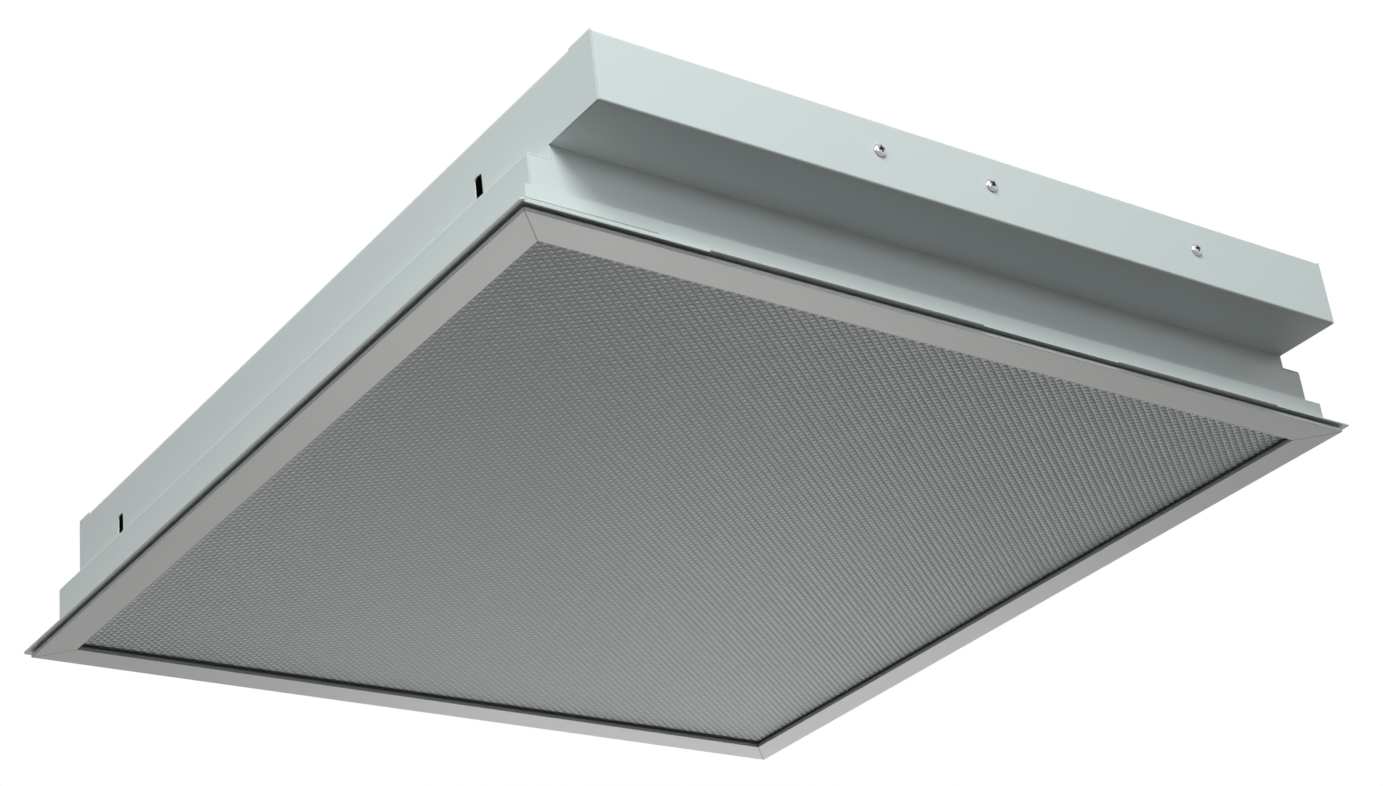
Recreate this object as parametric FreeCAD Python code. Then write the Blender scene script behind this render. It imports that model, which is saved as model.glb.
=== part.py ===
import FreeCAD, Part
import math
import os

from FreeCAD import Vector

# Recessed troffer light. Millimetres, +Z up. The origin is the centre of the rim, in the plane of
# its top face, which is the plane of the ceiling. +X and +Y run along the rim's sides. The box that
# overhangs the rim is at -Y (front), and the door's hinge is at +Y (back).

os.makedirs("parts", exist_ok=True)

# ---- sheet metal -------------------------------------------------------------------------------
sheet = 0.8              # steel of the housing, the rail and the door
bend = 0.6               # inside radius of its bends
thin_sheet = 0.6         # reflector and gear cover
seam = 0.2               # gap between a wall's edge and the plate that it meets
contact = 0.3            # gap between a moving piece and its stop

# ---- lamps ---------------------------------------------------------------------------------------
lamp_length = 589.8      # from cap face to cap face
lamp_diameter = 26.0
lamp_pitch = 130.0
lamp_count = 4
lamp_drop = 21.0         # lamp axis below the top panel's inner face
glass_wall = 0.8
cap_depth = 9.0
cap_wall = 0.35
cap_base = 1.2
pin_length = 7.1
pin_diameter = 2.4
pin_pitch = 12.7
glass_play = 0.05

# ---- lampholders ---------------------------------------------------------------------------------
holder_thickness = 9.2
holder_width = 24.0
holder_reach = 14.0      # below the lamp axis
holder_corner = 8.0
holder_floor = 1.2
cap_play = 0.35          # between a holder and the lamp's cap
rotor_diameter = 17.9
rotor_clearance = 0.05   # radial
rotor_play = 0.15        # along the axis, at each face
rotor_floor = 0.9
pin_play = 0.15
pin_slot = 3.2
window_play = 0.2        # around a holder in its rail

# ---- housing -------------------------------------------------------------------------------------
rim_front = 15.5         # rim outside the skirt, at the front
rim_back = 18.5
rim_side = 16.8
rim_corner = 2.0
plate_step = 8.3         # from the shelf up to the underside of the overhanging box
shelf = 14.1             # step from the skirt in to the end plate
shelf_lap = 1.0          # shelf inside the end plate that stands on it
overhang = 44.5          # the box's face in front of the skirt
box_height = 42.5        # of the overhanging box, down from the body's top
box_lip = 8.0            # upturned inner edge of the box's underside
box_lip_inset = 4.0
body_height = 90.8
top_flange = 14.0        # inward flange along the top of an end plate
front_ear = 19.4         # unbent length at the front end of that edge
rear_ear = 15.0
ear_depth = 6.0          # height of the ears below the top

# ---- front edge of the rim and the rail that stands on it ----------------------------------------
notch_depth = 1.2
notch_length = 103.0     # shallow notch to the right of the middle
corner_notch = 65.0      # shallow notch that ends at the right corner
lip_length = 113.5       # folded lip at the left end of the rim's front edge
lip_depth = 1.2
rail_end = 10.5          # from the rim's end to the rail's end
rail_height = 16.8
rail_inset = 10.6        # from the rim's front edge to the rail's outer face
rail_foot = 4.2
rail_lift = 9.0          # height of the lifted left end's lower edge
lift_start = 112.0       # where the lower edge starts to rise, from the rim's left end
lift_end = 89.0          # where it has risen

# ---- openings in the housing ---------------------------------------------------------------------
slot_inset = 81.0        # from the rim's front and back edges
slot_width = 7.4
slot_drop = 22.8         # upper end, below the body's top
slot_length = 20.0
slot_corner = 2.0
hang_inset = 100.0       # suspension holes, from the rim's front and back edges
hang_radius = 3.3
nut_room = 11.0          # radius of the holes in the reflector over them

# ---- screws through the box's face and the back wall ---------------------------------------------
box_screw_x = (-85.0, -5.0, 156.0)
box_screw_drop = 19.7    # below the body's top
screw_radius = 2.0
screw_clearance = 0.1
head_radius = 4.0
head_height = 2.4
head_round = 1.4
cross_width = 0.9
cross_span = 4.4
cross_depth = 1.3
nut_flats = 7.0
nut_height = 3.2
nut_clearance = 0.05
screw_tail = 1.0         # thread that stands out of the nut

# ---- lampholder rails ----------------------------------------------------------------------------
holder_rail_leg = 26.0
holder_rail_height = 34.0
holder_rail_gap = 20.0   # between a rail's end and the end plate

# ---- reflector and gear --------------------------------------------------------------------------
reflector_gap = 1.0      # to the lampholder rails
reflector_inset = 29.1   # its edge from the end plate's outer face
wing_lap = 12.0          # top of a wing under the reflector
wing_spread = 16.0
wing_depth = 30.0
cover_width = 60.0
cover_height = 32.0
cover_flange = 20.0
cover_front_gap = 39.2   # to the reflector's front edge
cover_back_gap = 7.7
cover_screw_side = 14.0  # from the cover's side to its screws
cover_screw_end = 22.0   # from the cover's end
tap_radius = 1.5
tap_head_radius = 3.2
tap_head_height = 2.0
tap_head_edge = 1.2      # height of the head's straight edge
tap_head_crown = 2.0     # radius of the head's flat crown
tap_play = 0.05
tap_stop = 0.2           # a tapping screw's end below the panel's outer face

ballast_length = 280.0
ballast_width = 40.0
ballast_height = 28.0
ballast_foot = 12.0
ballast_foot_thickness = 1.0
ballast_corner = 2.0
ballast_foot_screw = 6.0  # from the ballast's end

terminal_length = 40.0
terminal_width = 28.0
terminal_height = 18.0
terminal_gap = 50.0      # to the ballast in front of it
terminal_poles = 3
pole_pitch = 8.0
pole_radius = 1.8
pole_depth = 6.0
pole_screw_radius = 2.4
pole_screw_depth = 2.0

clamp_length = 12.0
clamp_width = 26.0
clamp_height = 12.0
clamp_gap = 15.0         # to the terminal block in front of it
clamp_bore = 4.1
clamp_screw_x = 18.0

grommet_gap = 18.0       # from the cord clamp back to its axis
grommet_inset = 38.7     # from its axis back to the reflector's edge
grommet_hole = 9.0
grommet_play = 0.05
grommet_bore = 5.0
grommet_lip = 2.0
grommet_lip_height = 1.2

earth_gap = 28.0         # behind the ballast
earth_head = 4.0
earth_head_height = 3.0
earth_washer = 5.0
earth_washer_height = 1.0

mains_wire_radius = 1.0
mains_wire_drop = 12.0   # below the top panel's inner face
lamp_wire_radius = 1.5
lamp_wire_x = 17.0
lamp_wire_drop = 6.0
lamp_wire_bend = 8.0
lamp_wire_offset = 9.0   # from the holders' faces

# ---- door ----------------------------------------------------------------------------------------
door_reveal = 4.0        # the rim outside the door
door_ledge = 5.0         # frame inside the upstands, which carries the gasket
door_edge = 2.2          # height of the frame's outer and inner edges
door_gap = 1.4           # from the door's edge to the rim's underside
door_round = 0.5
mitre_gap = 0.16
upstand_clearance = 1.3  # to the skirt's inner face at the back
upstand_top = 12.0
upstand_foot = 3.2
gasket_height = 3.0
gasket_play = 0.2
diffuser_thickness = 2.8
diffuser_play = 0.3

seal_inset = 8.2
seal_width = 5.0
key_inset = 2.0
key_width = 6.0
key_length = 45.0
key_thickness = 1.0

clip_pitch = 300.0
clip_width = 18.0
clip_tongue = 10.0
clip_sheet = 0.6
clip_height = 8.6
rivet_radius = 1.2
rivet_head = 2.2
rivet_head_height = 0.7
rivet_play = 0.03

# ---- hinges --------------------------------------------------------------------------------------
hinge_pitch = 400.0
hinge_length = 30.0
hinge_inset = 1.25       # axis from the door's back edge
hinge_drop = 1.4         # axis below the rim's underside
knuckle_radius = 1.2
knuckle_gap = 0.2
hinge_leaf = 0.6
hinge_leaf_width = 5.8
hinge_pin_radius = 0.6
hinge_pin_clearance = 0.05
hinge_pin_grip = 0.02
hinge_notch = 1.0        # room at each end of a hinge in the door's edge
pin_head_radius = 1.0
pin_head_length = 0.6

# ---- catches -------------------------------------------------------------------------------------
catch_pitch = 360.0
catch_width = 16.0
catch_sheet = 0.6
catch_base = 6.0
catch_top_gap = 4.3      # to the underside of the overhanging box
catch_nose = 2.6
catch_nose_height = 22.3  # top of the nose, above the foot of the catch
nose_flat = 1.4
nose_ramp = 4.6
nose_return = 0.8        # how far the nose's upper side rises on its way back to the wall
striker_width = 20.0
striker_top = 30.0
striker_lip = 1.8
striker_foot = 12.0

# ---- planes and places worked out from the sizes above -------------------------------------------
half_sheet = sheet / 2
inner_length = lamp_length + 2 * (holder_thickness + cap_play)
rim_size = inner_length + 2 * sheet - overhang + rim_front + rim_back
rim_half = rim_size / 2
front_wall = -rim_half + rim_front
back_wall = rim_half - rim_back
skirt_x = rim_half - rim_side
plate_x = skirt_x - shelf
box_front = front_wall - overhang
panel_under = body_height - sheet
overhang_height = body_height - box_height
skirt_height = overhang_height - plate_step
slot_top = body_height - slot_drop
box_screw_height = body_height - box_screw_drop
catch_height = overhang_height - catch_base - catch_top_gap
lamp_z = panel_under - lamp_drop
lamp_y = (box_front + back_wall) / 2
reflector_under = panel_under - thin_sheet
reflector_x = plate_x - reflector_inset
reflector_front = box_front + sheet + holder_rail_leg + reflector_gap
reflector_back = back_wall - sheet - holder_rail_leg - reflector_gap
bend_top = bend + sheet
rim_under = -sheet

cover_front = reflector_front + cover_front_gap
cover_back = reflector_back - cover_back_gap
grommet_y = reflector_back - grommet_inset
clamp_front = grommet_y - grommet_gap - clamp_length
terminal_front = clamp_front - clamp_gap - terminal_length
ballast_back = terminal_front - terminal_gap
ballast_front = ballast_back - ballast_length
earth_y = ballast_back + earth_gap

door_half = rim_half - door_reveal
door_top = rim_under - door_gap
door_bottom = door_top - door_edge
door_floor = door_bottom + sheet
upstand_outer = back_wall - sheet - upstand_clearance
upstand_inner = upstand_outer - sheet
door_inner = upstand_outer - door_ledge
gasket_inner = door_inner + sheet + gasket_play
gasket_top = door_floor + gasket_height
diffuser_half = upstand_inner - diffuser_play
diffuser_top = gasket_top + diffuser_thickness
hinge_y = door_half - hinge_inset
hinge_z = rim_under - hinge_drop

lamp_x = [lamp_pitch * (n - (lamp_count - 1) / 2) for n in range(lamp_count)]


# ---- shapes --------------------------------------------------------------------------------------
def block(x0, x1, y0, y1, z0, z1):
    return Part.makeBox(x1 - x0, y1 - y0, z1 - z0, Vector(x0, y0, z0))


def rod(radius, start, end):
    start = Vector(*start)
    run = Vector(*end) - start
    return Part.makeCylinder(radius, run.Length, start, run)


def polygon(points):
    corners = [Vector(u, v, 0) for u, v in points]
    return Part.Face(Part.makePolygon(corners + corners[:1]))


def stand_x(face, x0, x1):
    """Extrudes a face drawn in (y, z) from x0 to x1."""
    solid = face.extrude(Vector(0, 0, x1 - x0))
    solid.rotate(Vector(0, 0, 0), Vector(1, 1, 1), 120)
    solid.translate(Vector(x0, 0, 0))
    return solid


def stand_y(face, y0, y1):
    """Extrudes a face drawn in (x, z) from y0 to y1."""
    solid = face.extrude(Vector(0, 0, y1 - y0))
    solid.rotate(Vector(0, 0, 0), Vector(1, 0, 0), 90)
    solid.translate(Vector(0, y1, 0))
    return solid


def stand_z(face, z0, z1):
    """Extrudes a face drawn in (x, y) from z0 to z1."""
    solid = face.extrude(Vector(0, 0, z1 - z0))
    solid.translate(Vector(0, 0, z0))
    return solid


def bent_strip(points, thickness, inside_radius):
    """The section of a strip of sheet whose middle line follows the points, with round bends."""
    middle = [Vector(u, v, 0) for u, v in points]
    runs = [(b - a).normalize() for a, b in zip(middle, middle[1:])]
    sides = [Vector(-run.y, run.x, 0) for run in runs]
    radius = inside_radius + thickness / 2

    def path(offset):
        edges = []
        start = middle[0] + sides[0] * offset
        for n in range(1, len(middle) - 1):
            turn = runs[n - 1].getAngle(runs[n])
            setback = radius * math.tan(turn / 2)
            inward = (runs[n] - runs[n - 1]).normalize()
            centre = middle[n] + inward * (radius / math.cos(turn / 2))
            between = (sides[n - 1] + sides[n]).normalize()
            enter = middle[n] - runs[n - 1] * setback + sides[n - 1] * offset
            crest = centre - inward * radius + between * offset
            leave = middle[n] + runs[n] * setback + sides[n] * offset
            edges.append(Part.makeLine(start, enter))
            edges.append(Part.Arc(enter, crest, leave).toShape())
            start = leave
        end = middle[-1] + sides[-1] * offset
        edges.append(Part.makeLine(start, end))
        return edges, middle[0] + sides[0] * offset, end

    left, left_start, left_end = path(thickness / 2)
    right, right_start, right_end = path(-thickness / 2)
    caps = [Part.makeLine(left_start, right_start), Part.makeLine(left_end, right_end)]
    loop = Part.sortEdges(left + right + caps)[0]
    return Part.Face(Part.Wire(loop))


def turned(points, centre):
    """Turns an outline of (radius, height) points about an upright axis through the centre."""
    profile = Part.Face(Part.makePolygon([Vector(r, 0, h) for r, h in points + points[:1]]))
    solid = profile.revolve(Vector(0, 0, 0), Vector(0, 0, 1), 360)
    solid.translate(Vector(*centre))
    return solid


def edges_along(shape, axis):
    """The straight edges of a shape that run along x, y or z."""
    return [edge for edge in shape.Edges if abs(getattr(edge.tangentAt(edge.FirstParameter), axis)) > 0.9]


def mirror_x(shape):
    return shape.mirror(Vector(0, 0, 0), Vector(1, 0, 0))


def mirror_lamp_y(shape):
    """Mirrors a shape in the plane that halves the lamps."""
    return shape.mirror(Vector(0, lamp_y, 0), Vector(0, 1, 0))


def quarter_turns(shape, turns):
    copy = shape.copy()
    copy.rotate(Vector(0, 0, 0), Vector(0, 0, 1), 90 * turns)
    return copy


def union(shapes):
    return shapes[0].multiFuse(shapes[1:]).removeSplitter() if len(shapes) > 1 else shapes[0]


def save(name, shapes):
    group = shapes if isinstance(shapes, list) else [shapes]
    solids = [solid for shape in group for solid in shape.Solids]
    result = solids[0] if len(solids) == 1 else Part.makeCompound(solids)
    result.exportStep("parts/" + name + ".step")


# ---- holes that several pieces share -------------------------------------------------------------
def suspension_holes(radius):
    low = reflector_under - 1
    return [
        rod(radius, (x, y, low), (x, y, body_height + 1))
        for x in (-lamp_pitch, lamp_pitch)
        for y in (-rim_half + hang_inset, rim_half - hang_inset)
    ]


def tap_places():
    """Where tapping screws go, as (x, y), for each piece that they hold."""
    cover_x = cover_width / 2 + cover_screw_side
    cover_y = (cover_front + cover_screw_end, cover_back - cover_screw_end)
    clamp_y = clamp_front + clamp_length / 2
    return {
        "cover": [(x, y) for x in (-cover_x, cover_x) for y in cover_y],
        "ballast": [(0, ballast_front - ballast_foot_screw), (0, ballast_back + ballast_foot_screw)],
        "clamp": [(-clamp_screw_x / 2, clamp_y), (clamp_screw_x / 2, clamp_y)],
        "earth": [(0, earth_y)],
    }


def tap_holes():
    places = [place for group in tap_places().values() for place in group]
    low = panel_under - cover_height - 1
    return [rod(tap_radius + tap_play, (x, y, low), (x, y, body_height + 1)) for x, y in places]


def grommet_cut():
    radius = grommet_hole + grommet_play
    return rod(radius, (0, grommet_y, reflector_under - 1), (0, grommet_y, body_height + 1))


def wall_screw_holes():
    """Holes along Y at the box screws' places, through everything that they pass."""
    radius = screw_radius + screw_clearance
    return [
        rod(radius, (x, box_front - 1, box_screw_height), (x, back_wall + 1, box_screw_height))
        for x in box_screw_x
    ]


def rim_zone(side):
    """The part of the rim that belongs to one side: 0 front, 1 right, 2 back, 3 left."""
    outer = [(-rim_half, -rim_half), (rim_half, -rim_half), (rim_half, rim_half), (-rim_half, rim_half)]
    inner = [(-skirt_x, front_wall), (skirt_x, front_wall), (skirt_x, back_wall), (-skirt_x, back_wall)]
    near, far = side, (side + 1) % 4
    face = polygon([outer[near], outer[far], inner[far], (0, 0), inner[near]])
    return stand_z(face, rim_under - lip_depth, bend_top)


def rim_outline():
    plate = block(-rim_half, rim_half, -rim_half, rim_half, rim_under - lip_depth - 1, body_height + 1)
    return plate.makeFillet(rim_corner, edges_along(plate, "z"))


# ---- housing pieces ------------------------------------------------------------------------------
def housing_body():
    """One folded sheet: the overhanging box's underside and face, the top panel and the back wall."""
    lip_y = front_wall + box_lip_inset
    section = bent_strip(
        [
            (lip_y, overhang_height + box_lip),
            (lip_y, overhang_height + half_sheet),
            (box_front + half_sheet, overhang_height + half_sheet),
            (box_front + half_sheet, body_height - half_sheet),
            (back_wall - half_sheet, body_height - half_sheet),
            (back_wall - half_sheet, skirt_height),
        ],
        sheet,
        bend,
    )
    half = plate_x - sheet - seam
    body = stand_x(section, -half, half)
    return body.cut(suspension_holes(hang_radius) + tap_holes() + [grommet_cut()] + wall_screw_holes())


def cross_skirt(rim_end, wall_middle, top, side):
    """A front or back skirt: the rim's strip and the wall above it, stepped in over the shelves."""
    section = bent_strip([(rim_end, -half_sheet), (wall_middle, -half_sheet), (wall_middle, top)], sheet, bend)
    strip = stand_x(section, -rim_half, rim_half)
    rim = strip.common(rim_zone(side)).common(rim_outline())
    lower_half = skirt_x - sheet - seam
    upper_half = plate_x - sheet - seam
    shelf_under = skirt_height - sheet - seam
    y0, y1 = wall_middle - sheet, wall_middle + sheet
    lower = strip.common(block(-lower_half, lower_half, y0, y1, bend_top, shelf_under))
    upper = strip.common(block(-upper_half, upper_half, y0, y1, shelf_under, top))
    return union([rim, lower, upper])


def front_skirt():
    """Front skirt up to the box, with the steps and the folded lip of the rim's front edge."""
    skirt = cross_skirt(-rim_half, front_wall + half_sheet, overhang_height, 0)
    lip = block(
        -rim_half + rim_corner, -rim_half + lip_length,
        -rim_half, -rim_half + sheet, rim_under - lip_depth, rim_under,
    )
    notch_spans = ((0, notch_length), (rim_half - corner_notch, rim_half))
    notches = [
        block(x0, x1, -rim_half - 1, -rim_half + notch_depth, rim_under - 1, 1)
        for x0, x1 in notch_spans
    ]
    return union([skirt, lip]).cut(notches)


def back_skirt():
    return cross_skirt(rim_half, back_wall - half_sheet, skirt_height, 2)


def side_skirt():
    """Left skirt: the rim's strip, the wall, and the shelf that carries the end plate."""
    inner_x = -plate_x + sheet
    section = bent_strip(
        [
            (-rim_half, -half_sheet),
            (-skirt_x + half_sheet, -half_sheet),
            (-skirt_x + half_sheet, skirt_height - half_sheet),
            (inner_x + shelf_lap, skirt_height - half_sheet),
        ],
        sheet,
        bend,
    )
    strip = stand_y(section, -rim_half, rim_half)
    rim = strip.common(rim_zone(3)).common(rim_outline())
    lap_y = (front_wall + sheet + seam, back_wall - sheet - seam)
    keep = union([
        block(-rim_half, inner_x, front_wall, back_wall, bend_top, skirt_height),
        block(-rim_half, 0, lap_y[0], lap_y[1], bend_top, skirt_height),
    ])
    return union([rim, strip.common(keep)])


def end_plate():
    """Left end plate: an upright sheet with two slots, a flange along its top and an ear at each end."""
    section = bent_strip(
        [
            (-plate_x + half_sheet, skirt_height),
            (-plate_x + half_sheet, panel_under - half_sheet),
            (-plate_x + top_flange, panel_under - half_sheet),
        ],
        sheet,
        bend,
    )
    strip = stand_y(section, box_front, back_wall)
    ear_under = body_height - ear_depth
    flange_y = (box_front + front_ear, back_wall - rear_ear)
    keep = union([
        block(-plate_x, 0, front_wall, back_wall, skirt_height, overhang_height),
        block(-plate_x, 0, box_front, back_wall, overhang_height, ear_under),
        block(-plate_x, 0, flange_y[0], flange_y[1], ear_under, body_height),
    ])
    ears = [
        block(-plate_x, -plate_x + sheet, y0, y1, ear_under, body_height)
        for y0, y1 in ((box_front, flange_y[0]), (flange_y[1], back_wall))
    ]
    plate = union([strip.common(keep)] + ears)
    slots = []
    for y in (-rim_half + slot_inset, rim_half - slot_inset):
        slot = block(
            -plate_x - 1, -plate_x + sheet + 1,
            y - slot_width / 2, y + slot_width / 2, slot_top - slot_length, slot_top,
        )
        slots.append(slot.makeFillet(slot_corner, edges_along(slot, "x")))
    return plate.cut(slots)


def front_rail():
    """The upright rail on the rim's front side, in two lengths: the standing one and its lifted left end."""
    outer = -rim_half + rail_inset
    left = -rim_half + rail_end
    section = bent_strip(
        [
            (outer + half_sheet, rail_height),
            (outer + half_sheet, half_sheet),
            (outer + rail_foot, half_sheet),
        ],
        sheet,
        bend,
    )
    rail = stand_x(section, left, -left)
    joint_x = -rim_half + lift_end
    slope = polygon([
        (joint_x, -1), (-rim_half + lift_start, -1), (-rim_half + lift_start, 0), (joint_x, rail_lift),
    ])
    y0, y1 = outer - 1, outer + rail_foot + 1
    standing = rail.common(block(joint_x, -left, y0, y1, 0, rail_height)).cut(stand_y(slope, y0, y1))
    lifted = rail.common(block(left, joint_x, y0, y1, rail_lift, rail_height))
    return standing, lifted


def reflector():
    plate = block(-reflector_x, reflector_x, reflector_front, reflector_back, reflector_under, panel_under)
    return plate.cut(suspension_holes(nut_room) + tap_holes() + [grommet_cut()])


def reflector_wing():
    """Left wing: a strip under the reflector's edge that slants down and out beside the outer lamp."""
    top = reflector_under - thin_sheet / 2
    section = bent_strip(
        [
            (-reflector_x + wing_lap, top),
            (-reflector_x, top),
            (-reflector_x - wing_spread, top - wing_depth),
        ],
        thin_sheet,
        bend,
    )
    return stand_y(section, reflector_front, reflector_back)


def gear_cover():
    half_thin = thin_sheet / 2
    half_width = cover_width / 2 - half_thin
    flange_z = reflector_under - half_thin
    floor_z = reflector_under - cover_height
    section = bent_strip(
        [
            (-half_width - cover_flange, flange_z),
            (-half_width, flange_z),
            (-half_width, floor_z),
            (half_width, floor_z),
            (half_width, flange_z),
            (half_width + cover_flange, flange_z),
        ],
        thin_sheet,
        bend,
    )
    cover = stand_y(section, cover_front, cover_back)
    holes = [
        rod(tap_radius + tap_play, (x, y, flange_z - 2), (x, y, body_height))
        for x, y in tap_places()["cover"]
    ]
    return cover.cut(holes)


def tapping_screw(x, y, seat):
    """A pan-head tapping screw with its head under the seat."""
    outline = [
        (0, seat - tap_head_height),
        (tap_head_crown, seat - tap_head_height),
        (tap_head_radius, seat - tap_head_edge),
        (tap_head_radius, seat),
        (tap_radius, seat),
        (tap_radius, body_height - tap_stop),
        (0, body_height - tap_stop),
    ]
    return turned(outline, (x, y, 0))


def ballast():
    x = ballast_width / 2
    y0, y1 = ballast_front, ballast_back
    case = block(-x, x, y0, y1, reflector_under - ballast_height, reflector_under)
    lower = [edge for edge in case.Edges if edge.CenterOfMass.z < reflector_under - 1]
    case = case.makeFillet(ballast_corner, lower)
    foot_z = reflector_under - ballast_foot_thickness
    foot_x = x / 2
    feet = [
        block(-foot_x, foot_x, y0 - ballast_foot, y0, foot_z, reflector_under),
        block(-foot_x, foot_x, y1, y1 + ballast_foot, foot_z, reflector_under),
    ]
    return union([case] + feet).cut(tap_holes())


def terminal_block():
    x = terminal_width / 2
    y0, y1 = terminal_front, terminal_front + terminal_length
    z0 = reflector_under - terminal_height
    body = block(-x, x, y0, y1, z0, reflector_under)
    wire_z = panel_under - mains_wire_drop
    cuts = []
    for pole in pole_places():
        cuts.append(rod(pole_radius, (pole, y0 - 1, wire_z), (pole, y0 + pole_depth, wire_z)))
        cuts.append(rod(pole_radius, (pole, y1 - pole_depth, wire_z), (pole, y1 + 1, wire_z)))
        for y in (y0 + terminal_length / 4, y1 - terminal_length / 4):
            cuts.append(rod(pole_screw_radius, (pole, y, z0 - 1), (pole, y, z0 + pole_screw_depth)))
    return body.cut(cuts)


def pole_places():
    return [pole_pitch * (n - (terminal_poles - 1) / 2) for n in range(terminal_poles)]


def cord_clamp():
    y0, y1 = clamp_front, clamp_front + clamp_length
    z0 = reflector_under - clamp_height
    body = block(-clamp_width / 2, clamp_width / 2, y0, y1, z0, reflector_under)
    bore_z = reflector_under - clamp_height / 2
    bore = rod(clamp_bore, (0, y0 - 1, bore_z), (0, y1 + 1, bore_z))
    return body.cut([bore] + tap_holes())


def grommet():
    low = reflector_under - grommet_lip_height
    high = body_height + grommet_lip_height
    lip = grommet_hole + grommet_lip
    outline = [
        (grommet_bore, low), (lip, low), (lip, reflector_under), (grommet_hole, reflector_under),
        (grommet_hole, body_height), (lip, body_height), (lip, high), (grommet_bore, high),
    ]
    return turned(outline, (0, grommet_y, 0))


def earth_screw():
    washer_z = reflector_under - earth_washer_height
    outline = [
        (0, washer_z - earth_head_height),
        (earth_head, washer_z - earth_head_height),
        (earth_head, washer_z),
        (earth_washer, washer_z),
        (earth_washer, reflector_under),
        (tap_radius, reflector_under),
        (tap_radius, body_height - tap_stop),
        (0, body_height - tap_stop),
    ]
    return turned(outline, (0, earth_y, 0))


def mains_wires():
    z = panel_under - mains_wire_drop
    y1 = terminal_front + pole_depth
    return [rod(mains_wire_radius, (x, ballast_back, z), (x, y1, z)) for x in pole_places()]


def tube_path(radius, corners, bend_radius):
    """A round tube along straight runs joined by tangent arcs, in a level plane."""
    points = [Vector(*corner) for corner in corners]
    edges = []
    start = points[0]
    for before, corner, after in zip(points, points[1:], points[2:]):
        inward = (before - corner).normalize()
        outward = (after - corner).normalize()
        half = inward.getAngle(outward) / 2
        setback = bend_radius / math.tan(half)
        centre = corner + (inward + outward).normalize() * (bend_radius / math.sin(half))
        enter = corner + inward * setback
        leave = corner + outward * setback
        crest = centre + (corner - centre).normalize() * bend_radius
        edges.append(Part.makeLine(start, enter))
        edges.append(Part.Arc(enter, crest, leave).toShape())
        start = leave
    edges.append(Part.makeLine(start, points[-1]))
    spine = Part.Wire(edges)
    ring = Part.Wire(Part.makeCircle(radius, points[0], points[1] - points[0]))
    return spine.makePipeShell([ring], True, False)


def lamp_wires(front):
    """Two tubes of wires from the ballast's end to the outer lampholders."""
    z = panel_under - lamp_wire_drop
    ballast_end = ballast_front if front else 2 * lamp_y - ballast_back
    holder_face = box_front + sheet + holder_thickness
    row = holder_face + lamp_wire_offset
    reach = lamp_x[-1]
    wires = []
    for side in (-1, 1):
        x = side * lamp_wire_x
        corners = [(x, ballast_end, z), (x, row, z), (side * reach, row, z), (side * reach, holder_face, z)]
        wire = tube_path(lamp_wire_radius, corners, lamp_wire_bend)
        wires.append(wire if front else mirror_lamp_y(wire))
    return wires


def holder_rail():
    """Front lampholder rail: an angle under the top panel, open at each lampholder."""
    wall = box_front + sheet
    section = bent_strip(
        [
            (wall + half_sheet, panel_under - holder_rail_height),
            (wall + half_sheet, panel_under - half_sheet),
            (wall + holder_rail_leg, panel_under - half_sheet),
        ],
        sheet,
        bend,
    )
    reach = plate_x - sheet - holder_rail_gap
    rail = stand_x(section, -reach, reach)
    half = holder_width / 2 + window_play
    low = panel_under - holder_rail_height - 1
    windows = [
        block(x - half, x + half, wall - 1, wall + holder_thickness, low, panel_under - sheet)
        for x in lamp_x
    ]
    return rail.cut(windows + wall_screw_holes())


def lampholder(x):
    """Front lampholder: a block with a round bore for the rotor and a slot for the lamp's pins."""
    back = box_front + sheet
    face = back + holder_thickness
    half = holder_width / 2
    low = lamp_z - holder_reach
    body = block(x - half, x + half, back, face, low, panel_under - sheet)
    lower = [edge for edge in edges_along(body, "y") if edge.CenterOfMass.z < lamp_z]
    body = body.makeFillet(holder_corner, lower)
    floor = back + holder_floor
    bore = rod(rotor_diameter / 2 + rotor_clearance, (x, floor, lamp_z), (x, face + 1, lamp_z))
    slot = block(x - pin_slot / 2, x + pin_slot / 2, floor, face + 1, low - 1, lamp_z)
    return body.cut([bore, slot])


def rotor(x):
    """Front rotor of a lampholder, with a groove across it for the lamp's pins."""
    back = box_front + sheet + holder_floor + rotor_play
    face = box_front + sheet + holder_thickness - rotor_play
    disc = rod(rotor_diameter / 2, (x, back, lamp_z), (x, face, lamp_z))
    half = pin_diameter / 2 + pin_play
    groove = block(
        x - rotor_diameter, x + rotor_diameter,
        back + rotor_floor, face + 1, lamp_z - half, lamp_z + half,
    )
    web = block(x - pin_diameter, x + pin_diameter, back, face, lamp_z - half, lamp_z + half)
    return disc.cut(groove.cut(web))


def wall_screw(x):
    """Front cross-recess screw in the box's face."""
    z = box_screw_height
    head = rod(head_radius, (x, box_front - head_height, z), (x, box_front, z))
    rim = [edge for edge in head.Edges if edge.BoundBox.YMax < box_front - head_height / 2]
    head = head.makeFillet(head_round, rim)
    half_width, half_span = cross_width / 2, cross_span / 2
    y0, y1 = box_front - head_height - 1, box_front - head_height + cross_depth
    cross = [
        block(x - half_span, x + half_span, y0, y1, z - half_width, z + half_width),
        block(x - half_width, x + half_width, y0, y1, z - half_span, z + half_span),
    ]
    end = box_front + 2 * sheet + nut_height + screw_tail
    shank = rod(screw_radius, (x, box_front - 0.1, z), (x, end, z))
    return union([head.cut(cross), shank])


def wall_nut(x):
    y0 = box_front + 2 * sheet
    y1 = y0 + nut_height
    z = box_screw_height
    across = nut_flats / math.sqrt(3)
    angles = [math.radians(60 * n) for n in range(6)]
    corners = [(x + across * math.cos(angle), z + across * math.sin(angle)) for angle in angles]
    nut = stand_y(polygon(corners), y0, y1)
    return nut.cut(rod(screw_radius + nut_clearance, (x, y0 - 1, z), (x, y1 + 1, z)))


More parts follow.
